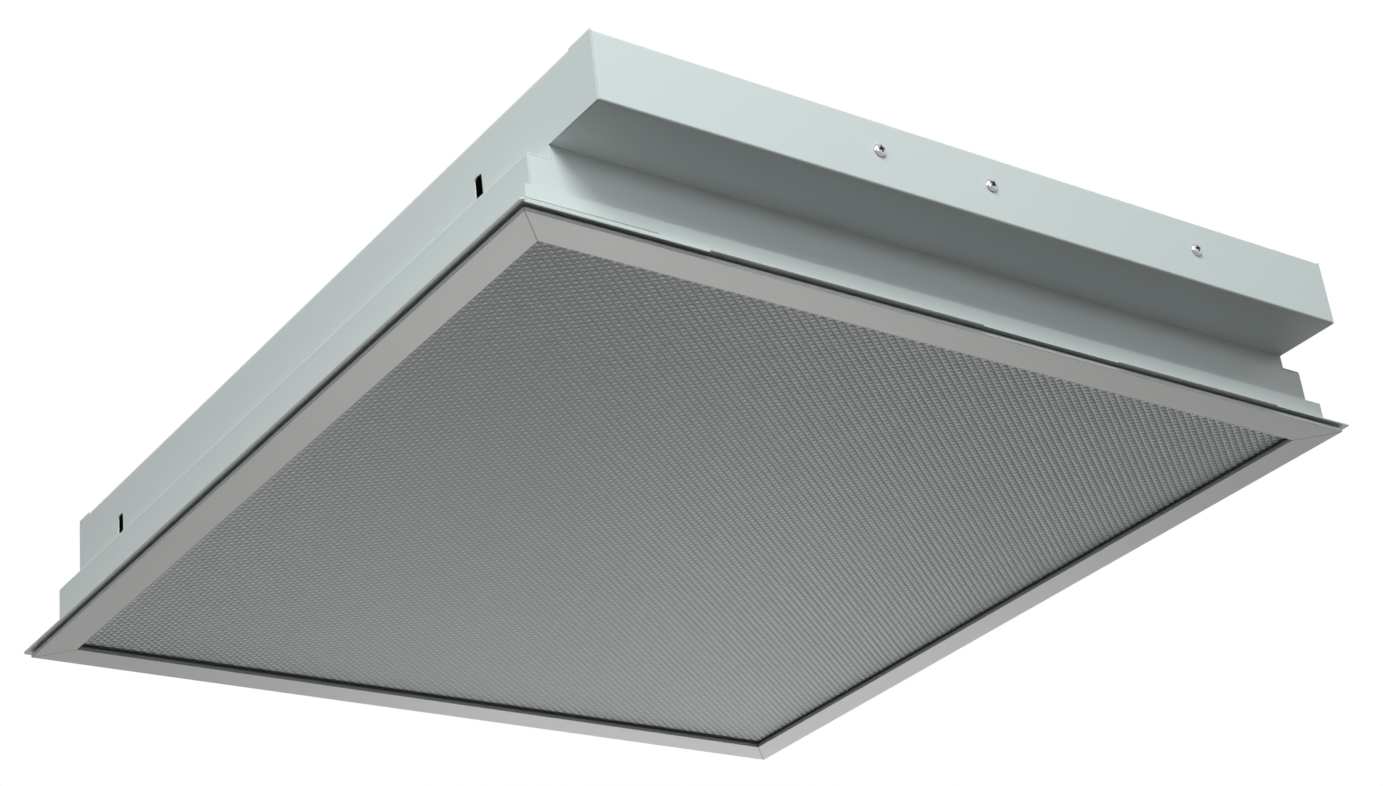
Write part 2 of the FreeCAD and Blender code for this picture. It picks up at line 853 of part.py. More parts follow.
# ---- lamps ---------------------------------------------------------------------------------------
def lamp_cap(x):
    """Front cap of a lamp, with its two pins as separate solids."""
    face = lamp_y - lamp_length / 2
    radius = lamp_diameter / 2
    cup = rod(radius, (x, face, lamp_z), (x, face + cap_depth, lamp_z))
    inside = rod(radius - cap_wall, (x, face + cap_base, lamp_z), (x, face + cap_depth + 1, lamp_z))
    pins = [
        rod(pin_diameter / 2, (x + side * pin_pitch / 2, face - pin_length, lamp_z),
            (x + side * pin_pitch / 2, face, lamp_z))
        for side in (-1, 1)
    ]
    return [cup.cut(inside)] + pins


def lamp_tube(x):
    radius = lamp_diameter / 2 - cap_wall - glass_play
    end = lamp_length / 2 - cap_base - glass_play
    outside = rod(radius, (x, lamp_y - end, lamp_z), (x, lamp_y + end, lamp_z))
    inside = rod(radius - glass_wall, (x, lamp_y - end - 1, lamp_z), (x, lamp_y + end + 1, lamp_z))
    return outside.cut(inside)


# ---- door pieces ---------------------------------------------------------------------------------
def mitred(strip, top):
    """Cuts a front strip of the door to its mitres, half the gap inside each diagonal."""
    mitre = mitre_gap / math.sqrt(2)
    reach = door_half + 1
    wedge = polygon([(-reach + mitre, -reach), (reach - mitre, -reach), (0, -mitre)])
    return strip.common(stand_z(wedge, door_bottom - 1, top + 1))


def door_rail():
    """Front side of the door frame: a flat face between two low edges, with mitred ends."""
    u0, u1 = door_inner, door_half
    section = polygon([
        (-u1, door_bottom), (-u0, door_bottom), (-u0, door_top), (-u0 - sheet, door_top),
        (-u0 - sheet, door_floor), (-u1 + sheet, door_floor), (-u1 + sheet, door_top), (-u1, door_top),
    ])
    rail = stand_x(section, -door_half, door_half)
    lower = [edge for edge in edges_along(rail, "x") if edge.BoundBox.ZMax < door_floor - half_sheet]
    return mitred(rail.makeFillet(door_round, lower), door_top)


def upstand():
    """Front upstand: an angle on the door frame that the clips and strikers are fixed to."""
    middle = -upstand_outer + half_sheet
    section = bent_strip(
        [
            (middle, upstand_top),
            (middle, door_floor + half_sheet),
            (-upstand_outer - upstand_foot, door_floor + half_sheet),
        ],
        sheet,
        bend,
    )
    strip = mitred(stand_x(section, -door_half, door_half), upstand_top)
    return strip.cut([clip_rivet_hole(side) for side in (-1, 1)])


def clip_rivet_hole(side):
    x, z = side * clip_pitch / 2, rivet_z()
    return rod(rivet_radius + rivet_play, (x, -upstand_outer - 1, z), (x, -upstand_inner + 1, z))


def rivet_z():
    return (diffuser_top + clip_sheet + upstand_top) / 2


def back_rail():
    """The back side of the frame, with its outer edge cut away at the hinges."""
    rail = quarter_turns(door_rail(), 2)
    half = hinge_length / 2 + hinge_notch
    notches = [
        block(x - half, x + half, door_half - sheet - 1, door_half + 1, door_floor, door_top + 1)
        for x in (-hinge_pitch / 2, hinge_pitch / 2)
    ]
    return rail.cut(notches)


def ring(outer, inner, z0, z1):
    outside = block(-outer, outer, -outer, outer, z0, z1)
    return outside.cut(block(-inner, inner, -inner, inner, z0 - 1, z1 + 1))


def corner_key():
    """Front left corner key: a flat angle on the frame's inside."""
    outer = door_half - key_inset
    inner = outer - key_width
    end = outer - key_length
    z0, z1 = door_floor, door_floor + key_thickness
    plate = block(-outer, -end, -outer, -end, z0, z1)
    return plate.cut(block(-inner, 0, -inner, 0, z0 - 1, z1 + 1))


def diffuser_clip(x):
    """Front clip: an angle on the upstand whose tongue holds the diffuser down."""
    half_clip = clip_sheet / 2
    section = bent_strip(
        [
            (-upstand_inner + half_clip, diffuser_top + clip_height),
            (-upstand_inner + half_clip, diffuser_top + half_clip),
            (-upstand_inner + clip_tongue, diffuser_top + half_clip),
        ],
        clip_sheet,
        clip_sheet,
    )
    clip = stand_x(section, x - clip_width / 2, x + clip_width / 2)
    z = rivet_z()
    hole = rod(rivet_radius + rivet_play, (x, -upstand_inner - 1, z), (x, -upstand_inner + clip_sheet + 1, z))
    return clip.cut(hole)


def clip_rivet(x):
    y0, y1 = -upstand_outer, -upstand_inner + clip_sheet
    z = rivet_z()
    shank = rod(rivet_radius, (x, y0, z), (x, y1, z))
    heads = [
        rod(rivet_head, (x, y0 - rivet_head_height, z), (x, y0, z)),
        rod(rivet_head, (x, y1, z), (x, y1 + rivet_head_height, z)),
    ]
    return union([shank] + heads)


def on_four_sides(make):
    """Two copies of a front piece on each side of the door."""
    fronts = [make(side * clip_pitch / 2) for side in (-1, 1)]
    return [quarter_turns(piece, turns) for turns in range(4) for piece in fronts]


# ---- hinges and catches --------------------------------------------------------------------------
def knuckle_spans(x):
    """The three knuckles of the hinge centred on x: the door's, the housing's, the door's."""
    third = hinge_length / 3
    start = x - hinge_length / 2
    gap = knuckle_gap / 2
    return [(start + n * third + gap, start + (n + 1) * third - gap) for n in range(3)]


def knuckle(span, leaf_z, bore):
    """A knuckle joined to its leaf, whose far face is at leaf_z."""
    x0, x1 = span
    barrel = rod(knuckle_radius, (x0, hinge_y, hinge_z), (x1, hinge_y, hinge_z))
    z0, z1 = sorted((leaf_z, hinge_z))
    root = block(x0, x1, hinge_y - knuckle_radius, hinge_y, z0, z1)
    hole = rod(bore, (x0 - 1, hinge_y, hinge_z), (x1 + 1, hinge_y, hinge_z))
    return union([barrel, root]).cut(hole)


def fixed_leaf(x):
    half = hinge_length / 2
    y0 = hinge_y - hinge_leaf_width
    y1 = hinge_y - knuckle_radius - knuckle_gap
    leaf = block(x - half, x + half, y0, y1, rim_under - hinge_leaf, rim_under)
    span = knuckle_spans(x)[1]
    tongue = block(*span, y0, hinge_y, rim_under - hinge_leaf, rim_under)
    middle = knuckle(span, rim_under, hinge_pin_radius + hinge_pin_clearance)
    bore = rod(
        hinge_pin_radius + hinge_pin_clearance,
        (x - half - 1, hinge_y, hinge_z), (x + half + 1, hinge_y, hinge_z),
    )
    return union([leaf, tongue, middle]).cut(bore)


def door_leaf(x):
    half = hinge_length / 2
    y0 = hinge_y - hinge_leaf_width
    leaf = block(x - half, x + half, y0, hinge_y - knuckle_radius, door_floor, door_floor + hinge_leaf)
    spans = knuckle_spans(x)
    outer = [knuckle(span, door_floor, hinge_pin_radius + hinge_pin_grip) for span in (spans[0], spans[2])]
    return union([leaf] + outer)


def hinge_pin(x):
    half = hinge_length / 2
    shank = rod(hinge_pin_radius, (x - half, hinge_y, hinge_z), (x + half, hinge_y, hinge_z))
    heads = [
        rod(pin_head_radius, (x + side * half, hinge_y, hinge_z),
            (x + side * (half + pin_head_length), hinge_y, hinge_z))
        for side in (-1, 1)
    ]
    return union([shank] + heads)


def spring_catch(x):
    """A bent leaf on the recess wall, with a nose that the striker's lip rests over."""
    back = front_wall + sheet + catch_sheet / 2
    tip = back + catch_nose
    foot = catch_base
    nose_top = foot + catch_nose_height
    section = bent_strip(
        [
            (back, foot), (back, nose_top - nose_flat - nose_ramp), (tip, nose_top - nose_flat),
            (tip, nose_top), (back, nose_top + nose_return), (back, foot + catch_height),
        ],
        catch_sheet,
        catch_sheet / 2,
    )
    return stand_x(section, x - catch_width / 2, x + catch_width / 2)


def striker(x):
    """A bent plate on the door's front upstand, with a lip over the catch's nose."""
    middle = -upstand_outer - half_sheet
    section = bent_strip(
        [
            (middle, upstand_top - striker_foot),
            (middle, striker_top - half_sheet),
            (middle - striker_lip, striker_top - half_sheet),
        ],
        sheet,
        bend,
    )
    return stand_x(section, x - striker_width / 2, x + striker_width / 2)


# ---- all pieces ----------------------------------------------------------------------------------
def main():
    save("housing_body", housing_body())
    save("skirt_front", front_skirt())
    save("skirt_back", back_skirt())
    left_skirt = side_skirt()
    save("skirt_left", left_skirt)
    save("skirt_right", mirror_x(left_skirt))
    left_plate = end_plate()
    save("end_plate_left", left_plate)
    save("end_plate_right", mirror_x(left_plate))
    standing, lifted = front_rail()
    save("front_rail", standing)
    save("front_rail_end", lifted)
    save("reflector", reflector())
    left_wing = reflector_wing()
    save("reflector_wings", [left_wing, mirror_x(left_wing)])
    save("gear_cover", gear_cover())

    places = tap_places()
    cover_seat = reflector_under - thin_sheet
    foot_seat = reflector_under - ballast_foot_thickness
    clamp_seat = reflector_under - clamp_height
    save("gear_cover_screws", [tapping_screw(x, y, cover_seat) for x, y in places["cover"]])
    save("ballast", ballast())
    save("ballast_screws", [tapping_screw(x, y, foot_seat) for x, y in places["ballast"]])
    save("terminal_block", terminal_block())
    save("cord_clamp", cord_clamp())
    save("cord_clamp_screws", [tapping_screw(x, y, clamp_seat) for x, y in places["clamp"]])
    save("cable_grommet", grommet())
    save("earth_screw", earth_screw())
    save("mains_wires", mains_wires())
    save("lamp_wires_front", lamp_wires(True))
    save("lamp_wires_back", lamp_wires(False))

    rail = holder_rail()
    save("holder_rail_front", rail)
    save("holder_rail_back", mirror_lamp_y(rail))
    holders = [lampholder(x) for x in lamp_x]
    save("lampholders_front", holders)
    save("lampholders_back", [mirror_lamp_y(holder) for holder in holders])
    screws = [wall_screw(x) for x in box_screw_x]
    nuts = [wall_nut(x) for x in box_screw_x]
    save("box_screws", screws)
    save("box_nuts", nuts)
    save("rear_screws", [mirror_lamp_y(screw) for screw in screws])
    save("rear_nuts", [mirror_lamp_y(nut) for nut in nuts])

    for number, x in enumerate(lamp_x, start=1):
        caps = lamp_cap(x)
        save(f"lamp_tube_{number}", lamp_tube(x))
        save(f"lamp_caps_{number}", caps + [mirror_lamp_y(cap) for cap in caps])
        turner = rotor(x)
        save(f"lamp_rotors_{number}", [turner, mirror_lamp_y(turner)])

    save("door_rail_front", door_rail())
    save("door_rail_right", quarter_turns(door_rail(), 1))
    save("door_rail_back", back_rail())
    save("door_rail_left", quarter_turns(door_rail(), 3))
    save("door_upstands", [quarter_turns(upstand(), turns) for turns in range(4)])
    save("corner_keys", [quarter_turns(corner_key(), turns) for turns in range(4)])
    seal_outer = door_half - seal_inset
    save("door_seal", ring(seal_outer, seal_outer - seal_width, door_floor, rim_under - contact))
    gasket_outer = upstand_inner - gasket_play
    save("diffuser_gasket", ring(gasket_outer, gasket_inner, door_floor, gasket_top))
    d = diffuser_half
    save("diffuser", block(-d, d, -d, d, gasket_top, diffuser_top))
    save("diffuser_clips", on_four_sides(diffuser_clip))
    save("clip_rivets", on_four_sides(clip_rivet))

    hinge_x = (-hinge_pitch / 2, hinge_pitch / 2)
    save("hinge_leaves_fixed", [fixed_leaf(x) for x in hinge_x])
    save("hinge_leaves_door", [door_leaf(x) for x in hinge_x])
    save("hinge_pins", [hinge_pin(x) for x in hinge_x])
    catch_x = (-catch_pitch / 2, catch_pitch / 2)
    save("spring_catches", [spring_catch(x) for x in catch_x])
    save("door_strikers", [striker(x) for x in catch_x])


main()
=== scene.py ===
import math

import bmesh
import bpy
from mathutils import Matrix, Vector


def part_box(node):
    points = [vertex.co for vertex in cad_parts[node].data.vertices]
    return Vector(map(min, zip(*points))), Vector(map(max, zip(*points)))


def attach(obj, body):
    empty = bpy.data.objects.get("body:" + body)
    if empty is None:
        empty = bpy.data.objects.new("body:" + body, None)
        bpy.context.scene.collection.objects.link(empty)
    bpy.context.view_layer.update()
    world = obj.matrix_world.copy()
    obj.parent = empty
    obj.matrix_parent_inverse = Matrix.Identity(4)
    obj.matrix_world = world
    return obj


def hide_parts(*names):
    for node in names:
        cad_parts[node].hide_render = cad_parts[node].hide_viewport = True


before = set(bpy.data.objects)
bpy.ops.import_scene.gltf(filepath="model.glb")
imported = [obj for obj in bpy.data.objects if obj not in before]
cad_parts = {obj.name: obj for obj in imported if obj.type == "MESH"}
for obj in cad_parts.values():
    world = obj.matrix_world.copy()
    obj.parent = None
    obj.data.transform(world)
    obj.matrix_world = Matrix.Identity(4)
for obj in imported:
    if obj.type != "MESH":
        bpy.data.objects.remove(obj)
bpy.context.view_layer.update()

bl_info = {
    "name": "Recessed Troffer Light",
    "version": (1, 0, 0),
    "blender": (4, 5, 0),
    "location": "View3D > Sidebar > Troffer",
    "description": "Dresses a recessed troffer light: panel, lamps, screws, seals and finishes",
    "category": "Object",
}

MM = 0.001                       # lengths are in metres

# ---- sizes of the CAD pieces that are drawn again here --------------------------------------------
LAMPS = range(1, 5)              # the lamps' numbers in the CAD's names
HALF_PIN_PITCH = 6.35 * MM
SEAL_WIDTH = 5.0 * MM
GASKET_WIDTH = 3.0 * MM
SCREW_HEAD_RADIUS = 4.0 * MM
SCREW_HEAD_HEIGHT = 2.4 * MM
SCREW_SHANK_RADIUS = 2.0 * MM
MIDDLE_SCREW_X = -5.0 * MM       # of the middle screw in both rows

# ---- profiles: points of (radius, distance along the axis), in millimetres or shares --------------
CAP_PROFILE = (                  # a lamp's cap, from its end face inwards, with a crimped bead
    (9.4, 0.45), (9.8, 0.0), (11.4, 0.0), (12.4, 0.35), (12.9, 1.0), (13.0, 1.7), (13.0, 4.9),
    (12.8, 5.2), (12.8, 5.9), (13.0, 6.2), (13.0, 8.4), (12.9, 8.8), (12.7, 9.0), (12.62, 8.7),
    (12.62, 1.2), (9.4, 1.2), (9.4, 0.45),
)
DISC_PROFILE = ((0.0, 0.35), (9.4, 0.35), (9.4, 1.0), (0.0, 1.0))
PIN_PROFILE = (                  # a pin, from its rounded end to its foot in the disc
    (0.0, -7.1), (0.55, -7.05), (0.95, -6.75), (1.15, -6.2), (1.2, -5.6), (1.2, -0.5), (1.45, -0.2),
    (1.6, 0.35), (0.0, 0.35),
)
PIN_LENGTH = -PIN_PROFILE[0][1] * MM
GROMMET_PROFILE = (              # a ring with a groove round it for the edge of the sheet
    (5.0, 0.5), (5.3, 0.15), (5.8, 0.0), (10.3, 0.0), (10.8, 0.25), (11.0, 0.7), (10.85, 1.1),
    (10.4, 1.2), (9.0, 1.2), (9.0, 2.6), (10.4, 2.6), (10.85, 2.75), (11.0, 3.15), (10.8, 3.55),
    (10.3, 3.8), (5.8, 3.8), (5.3, 3.65), (5.0, 3.3), (5.0, 0.5),
)
HEAD_PROFILE = (                 # a screw's head from its top to its seat, in shares of its size
    (0.0, 1.0), (0.30, 0.985), (0.55, 0.92), (0.76, 0.78), (0.90, 0.56), (0.98, 0.30), (1.0, 0.22),
    (0.96, 0.13), (0.80, 0.10), (0.78, 0.0),
)
GLASS_END_PROFILE = (            # shares of a lamp's radius, and millimetres from the glass's end
    (0.0, 0.0), (0.80, 0.0), (0.93, 0.5), (0.99, 1.6), (1.0, 3.0),
)

# ---- details that only this script adds -----------------------------------------------------------
SEAL_ROUNDING = 1.2 * MM
GASKET_ROUNDING = 0.4 * MM
THREAD_DEPTH = 0.35 * MM
SCREW_POINT = 0.3 * MM           # length of the taper at a screw's end
RECESS_SPAN = 1.34               # length of the cross's arms, as a share of the head's radius
RECESS_WIDTH = 0.42              # width of the cross's arms, as a share of the head's radius
RECESS_TAPER = (0.42, 0.62, 1.0) # size of the cross at its floor, as shares of its size at the top
RECESS_FLOOR = 0.8               # level faces below this share of the cross's depth are its floor
CUTTER_SPARE = 1.0 * MM          # how far the cross's cutter stands out of the head
FIRST_TWIST = 18.0               # turn of the first cross of a row, in degrees
TWIST_STEP = 41.0                # from one cross to the next
PIN_SIDES = 20
GROMMET_SIDES = 56

# ---- tolerances -----------------------------------------------------------------------------------
TINY = 0.001 * MM
MERGE_DISTANCE = 0.002 * MM
LEVEL_TOLERANCE = 0.01 * MM
LEVEL_FACE = 0.8                 # a face is level where the Z part of its normal is above this

# ---- stage ----------------------------------------------------------------------------------------
FLOOR_RADIUS = 14.0
FLOOR_SIDES = 96
FLOOR_GLOW = 0.7                 # lifts the seen floor close to the white background
STAGE_LAMPS = (                  # name, place, size, setting with its power, colour
    ("key lamp", (-1.15, -1.65, 1.42), 1.35, "key_power", (0.88, 1.0, 0.985)),
    ("front lamp", (-0.60, -2.10, 0.30), 0.7, "front_power", (0.92, 1.0, 1.0)),
    ("side lamp", (-1.95, -0.85, 0.62), 1.1, "side_power", (0.90, 1.0, 0.985)),
    ("fill lamp", (1.15, 1.70, -2.20), 1.3, "fill_power", (1.0, 0.985, 0.95)),
    ("back lamp", (2.00, 2.40, -1.00), 1.6, "back_power", (1.0, 0.985, 0.96)),
)


# ---- settings that a user would change ------------------------------------------------------------
class TrofferPanelSettings(bpy.types.PropertyGroup):
    """The prismatic panel in the door."""

    prism_width: bpy.props.FloatProperty(
        name="Prism width", description="Width of one prism along X, from corner to corner",
        default=7.0 * MM, min=3.0 * MM, max=30.0 * MM, unit="LENGTH",
    )
    prism_depth: bpy.props.FloatProperty(
        name="Prism depth", description="Size of one prism along Y, from corner to corner",
        default=5.02 * MM, min=3.0 * MM, max=30.0 * MM, unit="LENGTH",
    )
    prism_relief: bpy.props.FloatProperty(
        name="Prism relief", description="Height of a prism's tip above the valleys round it",
        default=0.55 * MM, min=0.1 * MM, max=2.0 * MM, unit="LENGTH",
    )
    tint: bpy.props.FloatVectorProperty(
        name="Acrylic tint", description="Colour of the clear acrylic",
        default=(0.50, 0.55, 0.555), min=0.0, max=1.0, subtype="COLOR",
    )
    clearness: bpy.props.FloatProperty(
        name="Clearness", description="Share of the light that passes through the panel",
        default=0.15, min=0.0, max=1.0, subtype="FACTOR",
    )


class TrofferSheetSettings(bpy.types.PropertyGroup):
    """The painted sheet metal."""

    enamel: bpy.props.FloatVectorProperty(
        name="Housing enamel", description="Colour of the powder coat on the housing and the door",
        default=(0.76, 0.78, 0.775), min=0.0, max=1.0, subtype="COLOR",
    )
    reflector: bpy.props.FloatVectorProperty(
        name="Reflector enamel", description="Colour of the reflector and the gear cover",
        default=(0.88, 0.89, 0.88), min=0.0, max=1.0, subtype="COLOR",
    )
    peel: bpy.props.FloatProperty(
        name="Orange peel", description="Height of the ripple in the powder coat",
        default=0.012 * MM, min=0.0, max=0.1 * MM, unit="LENGTH",
    )
    # the mitre line is painted shade for the shadow in the door's mitre gaps
    mitre_shade_width: bpy.props.FloatProperty(
        name="Mitre line", description="Half width of the dark line along the door's mitres",
        default=0.45 * MM, min=0.0, max=2.0 * MM, unit="LENGTH",
    )


class TrofferLampSettings(bpy.types.PropertyGroup):
    """The tubular lamps."""

    phosphor: bpy.props.FloatVectorProperty(
        name="Phosphor", description="Colour of the coating inside the glass",
        default=(0.92, 0.93, 0.92), min=0.0, max=1.0, subtype="COLOR",
    )
    sides: bpy.props.IntProperty(
        name="Sides", description="Faces round a lamp", default=56, min=12, max=128,
    )


class TrofferScrewSettings(bpy.types.PropertyGroup):
    """The cross-recess screws in the box's face and the back wall."""

    thread_pitch: bpy.props.FloatProperty(
        name="Thread pitch", description="Distance between two turns of the thread",
        default=0.7 * MM, min=0.3 * MM, max=1.5 * MM, unit="LENGTH",
    )
    recess_depth: bpy.props.FloatProperty(
        name="Recess depth", description="Depth of the cross in the head",
        default=1.5 * MM, min=0.3 * MM, max=2.0 * MM, unit="LENGTH",
    )
    sides: bpy.props.IntProperty(
        name="Sides", description="Faces round a screw", default=40, min=12, max=96,
    )


class TrofferStageSettings(bpy.types.PropertyGroup):
    """The studio round the light, and the camera."""

    floor_drop: bpy.props.FloatProperty(
        name="Floor drop", description="Distance of the floor below the ceiling plane",
        default=3.2, min=1.0, max=10.0, unit="LENGTH",
    )
    floor_colour: bpy.props.FloatVectorProperty(
        name="Floor", description="Colour of the floor",
        default=(0.20, 0.197, 0.192), min=0.0, max=1.0, subtype="COLOR",
    )
    ambient: bpy.props.FloatProperty(
        name="Ambient", description="Level of the even light from all round",
        default=0.13, min=0.0, max=2.0,
    )
    key_power: bpy.props.FloatProperty(
        name="Key light", description="Power of the lamp high in front, on the left", default=44.0,
        min=0.0, unit="POWER",
    )
    front_power: bpy.props.FloatProperty(
        name="Front light", description="Power of the weak lamp in front, almost level", default=6.5,
        min=0.0, unit="POWER",
    )
    side_power: bpy.props.FloatProperty(
        name="Side light", description="Power of the lamp on the left", default=6.5,
        min=0.0, unit="POWER",
    )
    fill_power: bpy.props.FloatProperty(
        name="Fill light", description="Power of the lamp below and behind", default=26.0,
        min=0.0, unit="POWER",
    )
    back_power: bpy.props.FloatProperty(
        name="Back light", description="Power of the low lamp behind, on the right", default=9.0,
        min=0.0, unit="POWER",
    )
    camera_place: bpy.props.FloatVectorProperty(
        name="Camera", description="Place of the camera",
        default=(-0.91429, -1.17146, -0.67200), subtype="TRANSLATION", unit="LENGTH",
    )
    camera_ahead: bpy.props.FloatVectorProperty(
        name="Ahead", description="Direction in which the camera looks",
        default=(0.557277, 0.689957, 0.461954), subtype="DIRECTION",
    )
    camera_up: bpy.props.FloatVectorProperty(
        name="Up", description="Direction that is up in the picture",
        default=(-0.189460, -0.436015, 0.879770), subtype="DIRECTION",
    )
    camera_lens: bpy.props.FloatProperty(
        name="Lens", description="Focal length on a sensor 36 mm wide",
        default=67.652, min=10.0, unit="CAMERA",
    )


# ---- shader maths ---------------------------------------------------------------------------------
class Number:
    """A number that varies over a surface. Arithmetic on it adds Math nodes."""

    def __init__(self, nodes, output):
        self.nodes = nodes
        self.output = output

    def math(self, operation, first, second):
        return self.nodes.add("ShaderNodeMath", {"operation": operation}, {0: first, 1: second})

    def __add__(self, other):
        return self.math("ADD", self, other)

    def __radd__(self, other):
        return self.math("ADD", other, self)

    def __sub__(self, other):
        return self.math("SUBTRACT", self, other)

    def __rsub__(self, other):
        return self.math("SUBTRACT", other, self)

    def __mul__(self, other):
        return self.math("MULTIPLY", self, other)

    def __rmul__(self, other):
        return self.math("MULTIPLY", other, self)

    def __pow__(self, other):
        return self.math("POWER", self, other)

    def __abs__(self):
        return self.nodes.add("ShaderNodeMath", {"operation": "ABSOLUTE"}, {0: self})

    def at_least(self, other):
        return self.math("MAXIMUM", self, other)


class Nodes:
    """A node tree of a material or of the world."""

    def __init__(self, tree):
        self.tree = tree

    def add(self, kind, settings, sockets, output=0):
        """Adds a node, sets it up, and feeds its sockets with values or links."""
        node = self.tree.nodes.new(kind)
        for name, value in settings.items():
            if name == "stops":
                self.set_stops(node.color_ramp, value)
            else:
                setattr(node, name, value)
        for name, value in sockets.items():
            self.feed(node.inputs[name], value)
        return Number(self, node.outputs[output])

    def add_output(self, kind, shader):
        """Adds the tree's output node, fed by a shader."""
        node = self.tree.nodes.new(kind)
        self.feed(node.inputs["Surface"], shader)

    def set_stops(self, ramp, stops):
        while len(ramp.elements) < len(stops):
            ramp.elements.new(1.0)
        for element, (place, shade) in zip(ramp.elements, stops):
            element.position = place
            element.color = (shade, shade, shade, 1.0)

    def feed(self, target, value):
        if isinstance(value, Number):
            self.tree.links.new(value.output, target)
        else:
            target.default_value = value


class Finish(Nodes):
    """A material on one Principled shader."""

    def __init__(self, name, constants):
        self.material = bpy.data.materials.new(name)
        self.material.use_nodes = True
        super().__init__(self.material.node_tree)
        self.shader = self.tree.nodes["Principled BSDF"]
        for socket, value in constants.items():
            self.shader.inputs[socket].default_value = value

    def set(self, socket, value):
        """Feeds a socket of the Principled shader."""
        self.feed(self.shader.inputs[socket], value)

    def place(self, stretch=(1.0, 1.0, 1.0)):
        """The object's own coordinates, stretched."""
        coordinates = self.add("ShaderNodeTexCoord", {}, {}, output="Object")
        return self.add("ShaderNodeMapping", {}, {"Vector": coordinates, "Scale": stretch})

    def axis(self, name):
        """One of the object's own coordinates, in metres."""
        return self.add("ShaderNodeSeparateXYZ", {}, {0: self.place()}, output="XYZ".index(name))

    def ramp(self, value, stops):
        """A number that follows grey stops, each a (place, level) pair."""
        return self.add("ShaderNodeValToRGB", {"stops": stops}, {"Fac": value})

    def noise(self, place, scale, detail):
        sockets = {"Vector": place, "Scale": scale, "Detail": detail, "Roughness": 0.5}
        return self.add("ShaderNodeTexNoise", {}, sockets)

    def cells(self, place, scale):
        return self.add("ShaderNodeTexVoronoi", {"feature": "F1"}, {"Vector": place, "Scale": scale})

    def blend(self, low, high, factor):
        """A colour between two others, each a colour or an earlier blend."""
        first, second = (end if isinstance(end, Number) else (*end, 1.0) for end in (low, high))
        # By number, because the sockets for numbers, vectors and colours share their names.
        sockets = {0: factor, 6: first, 7: second}
        return self.add("ShaderNodeMix", {"data_type": "RGBA"}, sockets, output=2)

    def bump(self, height, distance):
        """Raises the surface by the height times the distance, in looks only."""
        sockets = {"Height": height, "Distance": distance, "Strength": 1.0}
        self.set("Normal", self.add("ShaderNodeBump", {}, sockets))


def shade_of(colour, factor):
    """A colour made darker or lighter."""
    return tuple(min(1.0, channel * factor) for channel in colour)


# ---- finishes -------------------------------------------------------------------------------------
def powder_coat(name, colour, peel, gloss, gap_shade_width=0.0):
    """Satin powder coat: fine grain, a shallow orange peel and a slow drift of tone over a sheet.

    A frame with mitred corners gets a dark line of the given half width along its joints: painted
    shade for the shadow in the mitre gaps.
    """
    finish = Finish(name, {"IOR": 1.5})
    place = finish.place()
    drift = finish.noise(place, 7.0, 3.0)
    ripple = finish.noise(place, 700.0, 2.0)
    grain = finish.noise(place, 3600.0, 1.0)
    patches = 0.6 * drift + 0.4 * grain
    tone = finish.blend(shade_of(colour, 0.955), shade_of(colour, 1.02), patches)
    # painted shade: a dark line along the mitre diagonals stands in for the shadow in the gaps
    # between the door's rails
    if gap_shade_width:
        off_mitre = abs(abs(finish.axis("X")) - abs(finish.axis("Y")))
        painted_gap_shade = finish.ramp(off_mitre * (0.5 / gap_shade_width), ((0.25, 0.85), (0.5, 0.0)))
        tone = finish.blend(tone, shade_of(colour, 0.12), painted_gap_shade)
    finish.set("Base Color", tone)
    finish.set("Roughness", gloss + 0.10 * (drift - 0.5) + 0.10 * (grain - 0.5))
    finish.bump(0.8 * ripple + 0.2 * grain, peel)
    return finish.material


def reflector_enamel(colour):
    """Glossy stove enamel on the reflector and the gear cover."""
    finish = Finish("reflector enamel", {"IOR": 1.52, "Coat Roughness": 0.06})
    place = finish.place()
    drift = finish.noise(place, 11.0, 2.0)
    ripple = finish.noise(place, 160.0, 2.0)
    finish.set("Base Color", finish.blend(shade_of(colour, 0.97), colour, drift))
    finish.set("Roughness", 0.20 + 0.08 * drift)
    finish.set("Coat Weight", 0.25 + 0.10 * ripple)
    finish.bump(ripple, 0.01 * MM)
    return finish.material


def zinc_plate(name, colour, roughness, spangle):
    """Plated steel: small crystals of slightly different tone, with fine rolling lines."""
    finish = Finish(name, {"IOR": 2.2})
    crystals = finish.cells(finish.place(), spangle)
    lines = finish.noise(finish.place((60.0, 1400.0, 1400.0)), 1.0, 3.0)
    haze = finish.noise(finish.place(), 90.0, 3.0)
    patches = 0.5 * crystals + 0.5 * haze
    finish.set("Base Color", finish.blend(shade_of(colour, 0.86), shade_of(colour, 1.06), patches))
    finish.set("Metallic", 1.0 - 0.06 * haze)
    finish.set("Roughness", roughness + 0.14 * (lines - 0.5) + 0.10 * haze)
    finish.bump(0.6 * lines + 0.4 * crystals, 0.004 * MM)
    return finish.material


def bright_plate():
    """Bright zinc on the screws, with a faint haze and small tool marks."""
    finish = Finish("bright plate", {"IOR": 2.4})
    haze = finish.noise(finish.place(), 420.0, 3.0)
    marks = finish.noise(finish.place((2600.0, 300.0, 2600.0)), 1.0, 2.0)
    finish.set("Base Color", finish.blend((0.44, 0.45, 0.46), (0.58, 0.59, 0.60), haze))
    finish.set("Metallic", 1.0 - 0.03 * marks)
    finish.set("Roughness", 0.08 + 0.12 * haze * marks)
    finish.bump(marks, 0.003 * MM)
    return finish.material


